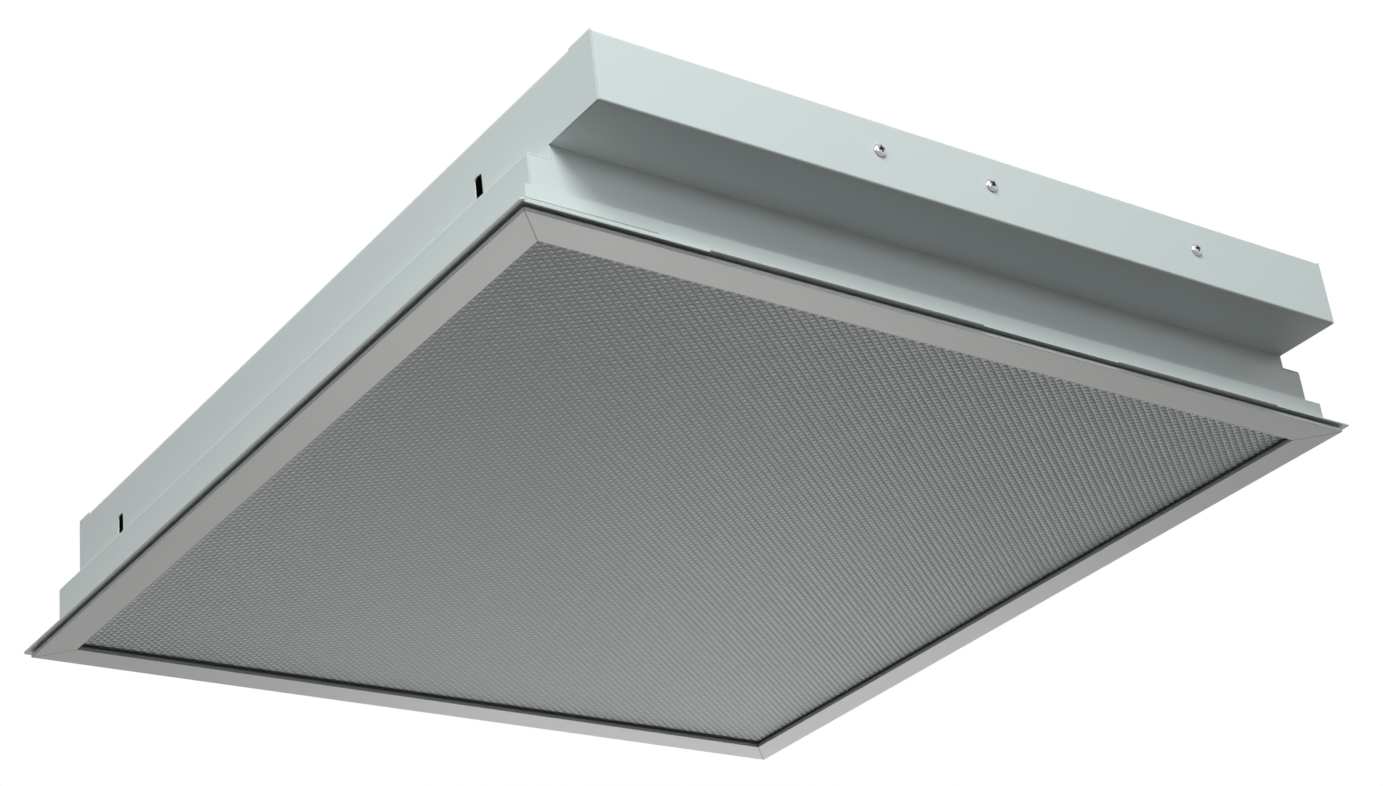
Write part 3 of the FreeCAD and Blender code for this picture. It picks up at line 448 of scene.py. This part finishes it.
def recess_shade():
    """The cross in a screw's head, painted near black: painted shade for the deep shadow in the
    recess.
    """
    finish = Finish("dark recess", {"IOR": 2.0})
    mottle = finish.noise(finish.place(), 1500.0, 3.0)
    finish.set("Base Color", finish.blend((0.004, 0.004, 0.005), (0.022, 0.022, 0.024), mottle))
    finish.set("Metallic", 0.30 - 0.20 * mottle)
    finish.set("Roughness", 0.42 + 0.20 * mottle)
    finish.bump(mottle, 0.01 * MM)
    return finish.material


def moulded_plastic(name, colour, roughness, texture):
    """Moulded plastic with a spark-eroded skin and faint flow marks."""
    finish = Finish(name, {"IOR": 1.49})
    skin = finish.noise(finish.place(), texture, 2.0)
    flow = finish.noise(finish.place((18.0, 55.0, 18.0)), 1.0, 2.0)
    marks = 0.5 * skin + 0.5 * flow
    finish.set("Base Color", finish.blend(shade_of(colour, 0.95), shade_of(colour, 1.02), marks))
    finish.set("Roughness", roughness + 0.12 * (skin - 0.5))
    finish.bump(skin, 0.015 * MM)
    return finish.material


def black_rubber():
    """Dull black rubber with a light bloom."""
    finish = Finish("black rubber", {"IOR": 1.52})
    bloom = finish.noise(finish.place(), 60.0, 4.0)
    grain = finish.noise(finish.place(), 1500.0, 2.0)
    dark, pale = (0.022, 0.022, 0.023), (0.050, 0.050, 0.052)
    finish.set("Base Color", finish.blend(dark, pale, bloom ** 2.0))
    finish.set("Roughness", 0.62 + 0.20 * bloom)
    finish.bump(grain, 0.02 * MM)
    return finish.material


def closed_foam(name, dark, pale):
    """Closed-cell foam: small open cells in a matt skin."""
    finish = Finish(name, {"IOR": 1.45})
    cells = finish.cells(finish.place(), 1100.0)
    patch = finish.noise(finish.place(), 120.0, 2.0)
    finish.set("Base Color", finish.blend(dark, pale, cells * patch))
    finish.set("Roughness", 0.85 + 0.10 * patch)
    finish.bump(cells, 0.15 * MM)
    return finish.material


def clear_acrylic(settings):
    """Clear acrylic, with a painted highlight at each prism's tip and along its edges, over a darker
    base colour.
    """
    tint = tuple(settings.tint)
    # highlight_tint is the colour of the painted highlights, dark the acrylic's base colour
    dark, highlight_tint = shade_of(tint, 0.68), shade_of(tint, 1.80)
    finish = Finish("clear acrylic", {
        "IOR": 1.49, "Transmission Weight": settings.clearness, "Specular IOR Level": 0.3,
    })
    across = finish.axis("X") * (1 / settings.prism_width)
    along = finish.axis("Y") * (1 / settings.prism_depth)
    first = from_centre(finish, along + across)
    second = from_centre(finish, along - across)
    furthest = first.at_least(second)
    # painted highlight: the tip and edge masks lighten the base colour where the prisms' tips and
    # edges would catch light
    tip = finish.ramp(furthest, ((0.14, 1.0), (0.25, 0.0)))
    edge = finish.ramp(furthest, ((0.43, 0.0), (0.48, 1.0)))
    haze = finish.noise(finish.place(), 12.0, 3.0)
    light = tip.at_least(0.38 * edge) + 0.10 * (haze - 0.5)
    finish.set("Base Color", finish.blend(dark, highlight_tint, light))
    finish.set("Roughness", 0.34 + 0.06 * haze - 0.14 * tip)
    fine = finish.noise(finish.place(), 900.0, 2.0)
    finish.bump(fine, 0.006 * MM)
    return finish.material


def from_centre(finish, value):
    """How far a lattice coordinate is from the middle of its cell, from nought to a half."""
    part = finish.add("ShaderNodeMath", {"operation": "FRACT"}, {0: value})
    return abs(part - 0.5)


def phosphor_glass(colour, first, last):
    """Glass over a white coating that darkens towards the lamp's ends."""
    finish = Finish("phosphor glass", {"IOR": 1.5, "Coat Roughness": 0.03})
    along = finish.axis("Y")
    centre, half = (first + last) / 2, (last - first) / 2
    ends = finish.ramp(abs((along - centre) * (1 / half)), ((0.90, 0.0), (1.0, 1.0)))
    powder = finish.noise(finish.place(), 260.0, 3.0)
    darkening = ends * (0.7 + 0.3 * powder)
    finish.set("Base Color", finish.blend(colour, shade_of(colour, 0.62), darkening))
    finish.set("Roughness", 0.30 + 0.10 * powder)
    finish.set("Coat Weight", 0.9 - 0.2 * powder)
    return finish.material


def turned_aluminium():
    """Drawn aluminium with fine lines round the lamp's axis."""
    finish = Finish("turned aluminium", {"IOR": 1.4})
    lines = finish.noise(finish.place((30.0, 4200.0, 30.0)), 1.0, 3.0)
    haze = finish.noise(finish.place(), 150.0, 2.0)
    finish.set("Base Color", finish.blend((0.66, 0.67, 0.68), (0.82, 0.83, 0.84), lines))
    finish.set("Metallic", 1.0 - 0.04 * haze)
    finish.set("Roughness", 0.26 + 0.16 * lines)
    finish.bump(lines, 0.004 * MM)
    return finish.material


def fibre_board():
    """The brown insulating disc between a lamp's pins."""
    finish = Finish("fibre board", {"IOR": 1.5})
    fibres = finish.noise(finish.place((900.0, 200.0, 200.0)), 1.0, 4.0)
    finish.set("Base Color", finish.blend((0.20, 0.11, 0.06), (0.34, 0.21, 0.12), fibres))
    finish.set("Roughness", 0.55 + 0.20 * fibres)
    finish.bump(fibres, 0.02 * MM)
    return finish.material


# ---- mesh helpers ---------------------------------------------------------------------------------
def finish_nodes(names, material):
    """Gives CAD nodes their material."""
    for name in names:
        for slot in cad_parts[name].material_slots:
            slot.material = material


def add_piece(name, shape, body, materials, stands_for, smooth=35.0):
    """Makes a piece from a bmesh, lets it ride on a body and puts it in the place of CAD nodes.

    Edges are sharp past the angle, in degrees, and every face is flat where the angle is nought.
    """
    mesh = bpy.data.meshes.new(name)
    shape.to_mesh(mesh)
    shape.free()
    for material in materials:
        mesh.materials.append(material)
    if smooth:
        mesh.shade_smooth()
        mesh.set_sharp_from_angle(angle=math.radians(smooth))
    piece = bpy.data.objects.new(name, mesh)
    bpy.context.scene.collection.objects.link(piece)
    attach(piece, body)
    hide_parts(*stands_for)


def spun(profile, axis, centre, sides):
    """A solid of revolution from (radius, distance along the axis) points, about an axis."""
    axis = Vector(axis)
    outward = axis.orthogonal().normalized()
    shape = bmesh.new()
    points = [shape.verts.new(Vector(centre) + outward * r + axis * h) for r, h in profile]
    for near, far in zip(points, points[1:]):
        shape.edges.new((near, far))
    bmesh.ops.spin(
        shape, geom=shape.verts[:] + shape.edges[:], cent=centre, axis=axis,
        angle=math.tau, steps=sides, use_merge=True,
    )
    bmesh.ops.remove_doubles(shape, verts=shape.verts[:], dist=MERGE_DISTANCE)
    bmesh.ops.recalc_face_normals(shape, faces=shape.faces[:])
    return shape


def add_to(whole, part, change=Matrix.Identity(4)):
    """Moves a part's mesh into a larger bmesh."""
    mesh = bpy.data.meshes.new("part")
    bmesh.ops.transform(part, matrix=change, verts=part.verts[:])
    if change.determinant() < 0:
        bmesh.ops.reverse_faces(part, faces=part.faces[:])
    part.to_mesh(mesh)
    part.free()
    whole.from_mesh(mesh)
    bpy.data.meshes.remove(mesh)


def square_ring(outer, width, low, high, rounding):
    """A square ring with rounded upper edges, as a bmesh."""
    shape = bmesh.new()
    base = Matrix.Translation((0, 0, low))
    bmesh.ops.create_grid(shape, x_segments=1, y_segments=1, size=outer, matrix=base)
    inside = shape.faces[:]
    bmesh.ops.inset_individual(shape, faces=inside, thickness=width, use_even_offset=True)
    bmesh.ops.delete(shape, geom=inside, context="FACES")
    lifted = bmesh.ops.extrude_face_region(shape, geom=shape.faces[:])["geom"]
    top = [item for item in lifted if isinstance(item, bmesh.types.BMVert)]
    bmesh.ops.translate(shape, vec=(0, 0, high - low), verts=top)
    bmesh.ops.recalc_face_normals(shape, faces=shape.faces[:])
    upper = high - LEVEL_TOLERANCE
    rims = [
        edge for edge in shape.edges
        if all(vert.co.z > upper for vert in edge.verts) and not is_mitre(edge)
    ]
    bmesh.ops.bevel(
        shape, geom=rims, offset=rounding, affect="EDGES", segments=4, profile=0.5, material=-1,
        offset_type="OFFSET", clamp_overlap=True,
    )
    return shape


def is_mitre(edge):
    """Whether an edge runs across a corner of a ring."""
    run = edge.verts[1].co - edge.verts[0].co
    return abs(run.x) > TINY and abs(run.y) > TINY


# ---- the prismatic panel --------------------------------------------------------------------------
def panel_shape(settings):
    """A slab whose underside is a lattice of shallow diamond pyramids."""
    low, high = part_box("diffuser")
    half = high.x
    valley = low.z + settings.prism_relief
    shape = bmesh.new()
    count = 2 * math.ceil(half * (1 / settings.prism_width + 1 / settings.prism_depth)) + 2
    bmesh.ops.create_grid(shape, x_segments=count, y_segments=count, size=count / 2)
    turn = Matrix.Rotation(math.radians(45.0), 4, "Z")
    wide, deep = settings.prism_width / math.sqrt(2), settings.prism_depth / math.sqrt(2)
    lattice = Matrix.Translation((0, 0, valley)) @ Matrix.Diagonal((wide, deep, 1.0, 1.0)) @ turn
    bmesh.ops.transform(shape, matrix=lattice, verts=shape.verts[:])
    for direction in ((1, 0, 0), (-1, 0, 0), (0, 1, 0), (0, -1, 0)):
        side = Vector(direction)
        everything = shape.verts[:] + shape.edges[:] + shape.faces[:]
        bmesh.ops.bisect_plane(
            shape, geom=everything, dist=TINY, plane_co=side * half, plane_no=side,
            clear_outer=True,
        )
    bmesh.ops.reverse_faces(shape, faces=shape.faces[:])
    bmesh.ops.poke(shape, faces=shape.faces[:], offset=settings.prism_relief)
    rim = [edge for edge in shape.edges if edge.is_boundary]
    walls = bmesh.ops.extrude_edge_only(shape, edges=rim)["geom"]
    upper = [item for item in walls if isinstance(item, bmesh.types.BMVert)]
    for vert in upper:
        vert.co.z = high.z
    top = [item for item in walls if isinstance(item, bmesh.types.BMEdge) and item.is_boundary]
    bmesh.ops.contextual_create(shape, geom=top)
    bmesh.ops.recalc_face_normals(shape, faces=shape.faces[:])
    return shape


# ---- lamps ----------------------------------------------------------------------------------------
def lamp_middle(number):
    """The middle of one lamp's axis."""
    low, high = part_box(f"lamp_tube_{number}")
    return Vector(((low.x + high.x) / 2, 0, (low.z + high.z) / 2))


def lamp_glass_shape(number, sides):
    """The glass of one lamp, drawn in a little at each end where the cap grips it."""
    low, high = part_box(f"lamp_tube_{number}")
    radius = (high.x - low.x) / 2
    half = [(radius * r, h * MM) for r, h in GLASS_END_PROFILE]
    profile = [(r, low.y + h) for r, h in half] + [(r, high.y - h) for r, h in reversed(half)]
    return spun(profile, (0, 1, 0), lamp_middle(number), sides)


def lamp_ends_shape(number, sides):
    """Both ends of one lamp."""
    low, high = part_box(f"lamp_caps_{number}")
    ends = bmesh.new()
    for face, inward in ((low.y + PIN_LENGTH, 1), (high.y - PIN_LENGTH, -1)):
        add_to(ends, lamp_cap_shape(lamp_middle(number), face, inward, sides))
    return ends


def lamp_cap_shape(centre, face, inward, sides):
    """A cap, the fibre disc in its end and two round-ended pins."""
    start = Vector((centre.x, face, centre.z))
    axis = Vector((0, inward, 0))
    whole = bmesh.new()
    for profile, shift, material, steps in (
        (CAP_PROFILE, 0.0, 0, sides), (DISC_PROFILE, 0.0, 1, sides),
        (PIN_PROFILE, -HALF_PIN_PITCH, 0, PIN_SIDES), (PIN_PROFILE, HALF_PIN_PITCH, 0, PIN_SIDES),
    ):
        points = [(r * MM, h * MM) for r, h in profile]
        part = spun(points, axis, start + Vector((shift, 0, 0)), steps)
        for facet in part.faces:
            facet.material_index = material
        add_to(whole, part)
    return whole


# ---- screws ---------------------------------------------------------------------------------------
def cross_wing(depth):
    """One tapered arm of the cutter for a cross recess, pointing down from the head's top."""
    wing = bmesh.new()
    made = bmesh.ops.create_cube(wing, size=1.0)["verts"]
    length, width = SCREW_HEAD_RADIUS * RECESS_SPAN, SCREW_HEAD_RADIUS * RECESS_WIDTH
    floor = SCREW_HEAD_HEIGHT - depth
    bmesh.ops.scale(wing, vec=(length, width, depth + CUTTER_SPARE), verts=made)
    bmesh.ops.translate(wing, vec=(0, 0, floor + (depth + CUTTER_SPARE) / 2), verts=made)
    foot = [vert for vert in made if vert.co.z < SCREW_HEAD_HEIGHT - depth / 2]
    bmesh.ops.scale(wing, vec=RECESS_TAPER, verts=foot)
    return wing


def as_object(shape):
    """Turns a bmesh into an object for a boolean."""
    mesh = bpy.data.meshes.new("cutter")
    shape.to_mesh(mesh)
    shape.free()
    piece = bpy.data.objects.new("cutter", mesh)
    bpy.context.scene.collection.objects.link(piece)
    return piece


def screw_blank_shape(settings, reach):
    """A pan-head screw along Z, its seat at zero: a domed head and a threaded shank."""
    shank, pitch = SCREW_SHANK_RADIUS, settings.thread_pitch
    profile = [(SCREW_HEAD_RADIUS * r, SCREW_HEAD_HEIGHT * h) for r, h in HEAD_PROFILE]
    profile.append((shank * 1.05, 0.0))
    for turn in range(int(reach / pitch) - 1):
        start = -(turn + 0.4) * pitch
        profile += [(shank, start), (shank - THREAD_DEPTH, start - pitch / 2)]
    profile += [(shank * 0.9, -reach + SCREW_POINT), (shank * 0.7, -reach), (0.0, -reach)]
    return spun(profile, (0, 0, 1), (0, 0, 0), settings.sides)


def screw_shape(settings, reach):
    """A screw with a cross recess, whose walls and floor take the second material, the painted
    recess shade.
    """
    blank = as_object(screw_blank_shape(settings, reach))
    wings = []
    for angle in (0.0, 90.0):
        wing = cross_wing(settings.recess_depth)
        turn = Matrix.Rotation(math.radians(angle), 3, "Z")
        bmesh.ops.rotate(wing, cent=(0, 0, 0), matrix=turn, verts=wing.verts[:])
        cutter = as_object(wing)
        recess = blank.modifiers.new("recess", "BOOLEAN")
        recess.operation = "DIFFERENCE"
        recess.solver = "EXACT"
        recess.object = cutter
        wings.append(cutter)
    graph = bpy.context.evaluated_depsgraph_get()
    made = bpy.data.meshes.new_from_object(blank.evaluated_get(graph))
    result = bmesh.new()
    result.from_mesh(made)
    for spare in [blank] + wings:
        mesh = spare.data
        bpy.data.objects.remove(spare)
        bpy.data.meshes.remove(mesh)
    bpy.data.meshes.remove(made)
    half_span = SCREW_HEAD_RADIUS * RECESS_SPAN * 0.5
    floor_below = SCREW_HEAD_HEIGHT - settings.recess_depth * RECESS_FLOOR
    for facet in result.faces:
        middle = facet.calc_center_median()
        steep = abs(facet.normal.z) < LEVEL_FACE
        wall = steep and middle.xy.length < half_span and middle.z > 0
        floor = facet.normal.z > LEVEL_FACE and 0 < middle.z < floor_below
        facet.material_index = 1 if wall or floor else 0
    return result


def screw_row(settings, node, outward):
    """All screws of one CAD node, at the places of its three solids."""
    low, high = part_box(node)
    reach = (high.y - low.y) - SCREW_HEAD_HEIGHT
    level = (low.z + high.z) / 2
    seat = low.y + SCREW_HEAD_HEIGHT if outward < 0 else high.y - SCREW_HEAD_HEIGHT
    places = (low.x + SCREW_HEAD_RADIUS, MIDDLE_SCREW_X, high.x - SCREW_HEAD_RADIUS)
    one = screw_shape(settings, reach)
    row = bmesh.new()
    tilt = Matrix.Rotation(math.radians(90.0 if outward < 0 else -90.0), 4, "X")
    for number, x in enumerate(places):
        twist = Matrix.Rotation(math.radians(FIRST_TWIST + TWIST_STEP * number), 4, "Z")
        add_to(row, one.copy(), Matrix.Translation((x, seat, level)) @ tilt @ twist)
    one.free()
    return row


# ---- operators ------------------------------------------------------------------------------------
class TROFFER_OT_enamel_sheets(bpy.types.Operator):
    """Gives the housing, the rail and the door frame their powder coat"""

    bl_idname = "troffer.enamel_sheets"
    bl_label = "Enamel the Sheets"

    def execute(self, context):
        settings = context.scene.troffer_sheet
        colour, peel = settings.enamel, settings.peel
        coat = powder_coat("housing enamel", colour, peel, gloss=0.42)
        finish_nodes([
            "housing_body", "skirt_front", "skirt_back", "skirt_left", "skirt_right",
            "end_plate_left", "end_plate_right", "front_rail", "front_rail_end",
            "holder_rail_front", "holder_rail_back",
        ], coat)
        # the door's coat carries a painted shadow line along its mitres
        door = powder_coat(
            "door enamel", colour, peel * 0.8, gloss=0.38, gap_shade_width=settings.mitre_shade_width,
        )
        finish_nodes([
            "door_rail_front", "door_rail_right", "door_rail_back", "door_rail_left",
            "door_upstands",
        ], door)
        return {"FINISHED"}


class TROFFER_OT_reflector(bpy.types.Operator):
    """Gives the reflector, its wings and the gear cover their glossy enamel"""

    bl_idname = "troffer.reflector"
    bl_label = "Enamel the Reflector"

    def execute(self, context):
        enamel = reflector_enamel(context.scene.troffer_sheet.reflector)
        finish_nodes(["reflector", "reflector_wings", "gear_cover"], enamel)
        return {"FINISHED"}


class TROFFER_OT_fittings(bpy.types.Operator):
    """Plates the hinges, catches, clips, keys and small screws"""

    bl_idname = "troffer.fittings"
    bl_label = "Plate the Fittings"

    def execute(self, context):
        zinc = zinc_plate("zinc plate", (0.62, 0.63, 0.64), roughness=0.34, spangle=900.0)
        finish_nodes([
            "gear_cover_screws", "ballast_screws", "cord_clamp_screws", "earth_screw", "box_nuts",
            "rear_nuts", "hinge_leaves_fixed", "corner_keys", "diffuser_clips", "clip_rivets",
            "hinge_leaves_door", "hinge_pins", "door_strikers",
        ], zinc)
        spring = zinc_plate("spring steel", (0.55, 0.56, 0.58), roughness=0.26, spangle=2400.0)
        finish_nodes(["spring_catches"], spring)
        return {"FINISHED"}


class TROFFER_OT_gear(bpy.types.Operator):
    """Finishes the ballast, the terminal block, the cord clamp and the wires"""

    bl_idname = "troffer.gear"
    bl_label = "Finish the Gear"

    def execute(self, context):
        case = powder_coat("ballast case", (0.78, 0.79, 0.78), peel=0.02 * MM, gloss=0.55)
        finish_nodes(["ballast"], case)
        wires = ["mains_wires", "lamp_wires_front", "lamp_wires_back"]
        holders = ["lampholders_front", "lampholders_back"]
        rotors = [f"lamp_rotors_{number}" for number in LAMPS]
        for nodes, name, colour, roughness, texture in (
            (["terminal_block", "cord_clamp"], "polyamide", (0.82, 0.82, 0.80), 0.45, 1400.0),
            (wires, "wire insulation", (0.80, 0.80, 0.78), 0.38, 2600.0),
            (holders, "polycarbonate", (0.86, 0.87, 0.86), 0.27, 1900.0),
            (rotors, "rotor plastic", (0.80, 0.81, 0.80), 0.46, 1500.0),
        ):
            finish_nodes(nodes, moulded_plastic(name, colour, roughness, texture))
        return {"FINISHED"}


class TROFFER_OT_panel(bpy.types.Operator):
    """Makes the prismatic panel that stands for the plain diffuser"""

    bl_idname = "troffer.panel"
    bl_label = "Make the Prismatic Panel"

    def execute(self, context):
        settings = context.scene.troffer_panel
        add_piece(
            "prismatic_panel", panel_shape(settings), "door",
            [clear_acrylic(settings)], ["diffuser"], smooth=0.0,
        )
        return {"FINISHED"}


class TROFFER_OT_lamps(bpy.types.Operator):
    """Makes the four lamps, each a coated glass tube with two capped ends"""

    bl_idname = "troffer.lamps"
    bl_label = "Make the Lamps"

    def execute(self, context):
        settings = context.scene.troffer_lamp
        low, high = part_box("lamp_tube_1")
        glass = phosphor_glass(tuple(settings.phosphor), low.y, high.y)
        metals = [turned_aluminium(), fibre_board()]
        for number in LAMPS:
            body = f"lamp_{number}"
            tube = lamp_glass_shape(number, settings.sides)
            add_piece(
                f"lamp_glass_{number}", tube, body, [glass], [f"lamp_tube_{number}"],
            )
            ends = lamp_ends_shape(number, settings.sides)
            add_piece(
                f"lamp_ends_{number}", ends, body, metals, [f"lamp_caps_{number}"],
            )
        return {"FINISHED"}


class TROFFER_OT_screws(bpy.types.Operator):
    """Makes the shiny cross-recess screws of the box's face and the back wall"""

    bl_idname = "troffer.screws"
    bl_label = "Make the Screws"

    def execute(self, context):
        settings = context.scene.troffer_screw
        # the second finish is painted shade for the screws' cross recesses
        finishes = [bright_plate(), recess_shade()]
        for name, node, outward in (
            ("front_pan_screws", "box_screws", -1), ("rear_pan_screws", "rear_screws", 1),
        ):
            row = screw_row(settings, node, outward)
            add_piece(name, row, "housing", finishes, [node], smooth=40.0)
        return {"FINISHED"}


class TROFFER_OT_seals(bpy.types.Operator):
    """Makes the foam seal on the door frame, the gasket under the panel and the cable grommet"""

    bl_idname = "troffer.seals"
    bl_label = "Make the Seals"

    def execute(self, context):
        black = closed_foam("black foam", (0.014, 0.014, 0.015), (0.048, 0.048, 0.050))
        grey = closed_foam("grey foam", (0.30, 0.308, 0.315), (0.44, 0.448, 0.455))
        for name, node, width, rounding, foam in (
            ("foam_seal", "door_seal", SEAL_WIDTH, SEAL_ROUNDING, black),
            ("foam_gasket", "diffuser_gasket", GASKET_WIDTH, GASKET_ROUNDING, grey),
        ):
            low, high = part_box(node)
            ring = square_ring(high.x, width, low.z, high.z, rounding)
            add_piece(name, ring, "door", [foam], [node])

        low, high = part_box("cable_grommet")
        middle = (low + high) / 2
        points = [(r * MM, low.z + h * MM) for r, h in GROMMET_PROFILE]
        grommet = spun(points, (0, 0, 1), (middle.x, middle.y, 0), GROMMET_SIDES)
        add_piece(
            "rubber_grommet", grommet, "housing", [black_rubber()],
            ["cable_grommet"],
        )
        return {"FINISHED"}


class TROFFER_OT_stage(bpy.types.Operator):
    """Sets up the floor, the soft light, the white surroundings and the camera"""

    bl_idname = "troffer.stage"
    bl_label = "Set the Stage"

    def execute(self, context):
        settings = context.scene.troffer_stage
        scene = context.scene
        scene.view_settings.view_transform = "Standard"
        self.make_world(scene, settings)
        self.make_floor(scene, settings)
        for name, place, size, power, colour in STAGE_LAMPS:
            self.make_lamp(scene, name, place, size, getattr(settings, power), colour)
        self.make_camera(scene, settings)
        return {"FINISHED"}

    def seen(self, nodes):
        """One where the background is seen, straight or in gloss or glass, and nought elsewhere."""
        straight = nodes.add("ShaderNodeLightPath", {}, {}, output="Is Camera Ray")
        gloss = nodes.add("ShaderNodeLightPath", {}, {}, output="Is Glossy Ray")
        glass = nodes.add("ShaderNodeLightPath", {}, {}, output="Is Transmission Ray")
        return straight.at_least(gloss).at_least(glass)

    def make_world(self, scene, settings):
        """White where it is seen, straight or in gloss or glass, and a weak even light elsewhere."""
        world = bpy.data.worlds.new("studio")
        world.use_nodes = True
        world.node_tree.nodes.clear()
        nodes = Nodes(world.node_tree)
        weak = {"Color": (0.96, 0.98, 1.0, 1.0), "Strength": settings.ambient}
        light = nodes.add("ShaderNodeBackground", {}, weak)
        full = {"Color": (1.0, 1.0, 1.0, 1.0), "Strength": 1.0}
        white = nodes.add("ShaderNodeBackground", {}, full)
        mixed = nodes.add("ShaderNodeMixShader", {}, {0: self.seen(nodes), 1: light, 2: white})
        nodes.add_output("ShaderNodeOutputWorld", mixed)
        scene.world = world

    def make_floor(self, scene, settings):
        """A matt floor that sends light up to the panel and is seen almost white."""
        shape = bmesh.new()
        bmesh.ops.create_circle(shape, cap_ends=True, radius=FLOOR_RADIUS, segments=FLOOR_SIDES)
        bmesh.ops.translate(shape, vec=(0, 0, -settings.floor_drop), verts=shape.verts[:])
        mesh = bpy.data.meshes.new("floor")
        shape.to_mesh(mesh)
        shape.free()
        floor = bpy.data.objects.new("floor", mesh)
        scene.collection.objects.link(floor)
        material = bpy.data.materials.new("studio floor")
        material.use_nodes = True
        material.node_tree.nodes.clear()
        nodes = Nodes(material.node_tree)
        colour = (*settings.floor_colour, 1.0)
        matt = nodes.add("ShaderNodeBsdfDiffuse", {}, {"Color": colour})
        light = {"Color": (1.0, 1.0, 1.0, 1.0), "Strength": self.seen(nodes) * FLOOR_GLOW}
        glow = nodes.add("ShaderNodeEmission", {}, light)
        both = nodes.add("ShaderNodeAddShader", {}, {0: matt, 1: glow})
        nodes.add_output("ShaderNodeOutputMaterial", both)
        mesh.materials.append(material)

    def make_lamp(self, scene, name, place, size, power, colour):
        """A round soft lamp aimed at the middle of the light."""
        lamp = bpy.data.lights.new(name, "AREA")
        lamp.shape = "DISK"
        lamp.size = size
        lamp.energy = power
        lamp.color = colour
        holder = bpy.data.objects.new(name, lamp)
        holder.location = place
        holder.rotation_euler = (-Vector(place)).to_track_quat("-Z", "Y").to_euler()
        scene.collection.objects.link(holder)

    def make_camera(self, scene, settings):
        """The camera, looking ahead with the given side up."""
        data = bpy.data.cameras.new("camera")
        data.sensor_width = 36.0
        data.lens = settings.camera_lens
        data.clip_start = 0.01
        data.clip_end = 100.0
        camera = bpy.data.objects.new("camera", data)
        ahead = Vector(settings.camera_ahead).normalized()
        right = ahead.cross(Vector(settings.camera_up)).normalized()
        up = right.cross(ahead)
        turn = Matrix((right, up, -ahead)).transposed()
        camera.matrix_world = Matrix.Translation(settings.camera_place) @ turn.to_4x4()
        scene.collection.objects.link(camera)
        scene.camera = camera


class TROFFER_PT_dressing(bpy.types.Panel):
    """Lists the pieces of the light and their sizes and colours"""

    bl_label = "Recessed Troffer Light"
    bl_idname = "TROFFER_PT_dressing"
    bl_space_type = "VIEW_3D"
    bl_region_type = "UI"
    bl_category = "Troffer"

    def draw(self, context):
        scene = context.scene
        others = ("troffer.screws", "troffer.fittings", "troffer.seals", "troffer.gear")
        groups = (
            (scene.troffer_sheet, ("troffer.enamel_sheets", "troffer.reflector")),
            (scene.troffer_panel, ("troffer.panel",)),
            (scene.troffer_lamp, ("troffer.lamps",)),
            (scene.troffer_screw, others),
            (scene.troffer_stage, ("troffer.stage",)),
        )
        for settings, operators in groups:
            box = self.layout.box()
            for name in settings.bl_rna.properties.keys():
                if name not in ("rna_type", "name"):
                    box.prop(settings, name)
            for operator in operators:
                box.operator(operator)


SETTINGS = (
    ("troffer_panel", TrofferPanelSettings),
    ("troffer_sheet", TrofferSheetSettings),
    ("troffer_lamp", TrofferLampSettings),
    ("troffer_screw", TrofferScrewSettings),
    ("troffer_stage", TrofferStageSettings),
)
CLASSES = (
    TROFFER_OT_enamel_sheets,
    TROFFER_OT_reflector,
    TROFFER_OT_fittings,
    TROFFER_OT_gear,
    TROFFER_OT_panel,
    TROFFER_OT_lamps,
    TROFFER_OT_screws,
    TROFFER_OT_seals,
    TROFFER_OT_stage,
    TROFFER_PT_dressing,
)


def register():
    for name, settings in SETTINGS:
        bpy.utils.register_class(settings)
        setattr(bpy.types.Scene, name, bpy.props.PointerProperty(type=settings))
    for item in CLASSES:
        bpy.utils.register_class(item)


def unregister():
    for item in reversed(CLASSES):
        bpy.utils.unregister_class(item)
    for name, settings in reversed(SETTINGS):
        delattr(bpy.types.Scene, name)
        bpy.utils.unregister_class(settings)


def main():
    register()
    bpy.ops.troffer.stage()
    bpy.ops.troffer.enamel_sheets()
    bpy.ops.troffer.reflector()
    bpy.ops.troffer.fittings()
    bpy.ops.troffer.gear()
    bpy.ops.troffer.panel()
    bpy.ops.troffer.lamps()
    bpy.ops.troffer.screws()
    bpy.ops.troffer.seals()


if __name__ == "__main__":
    main()
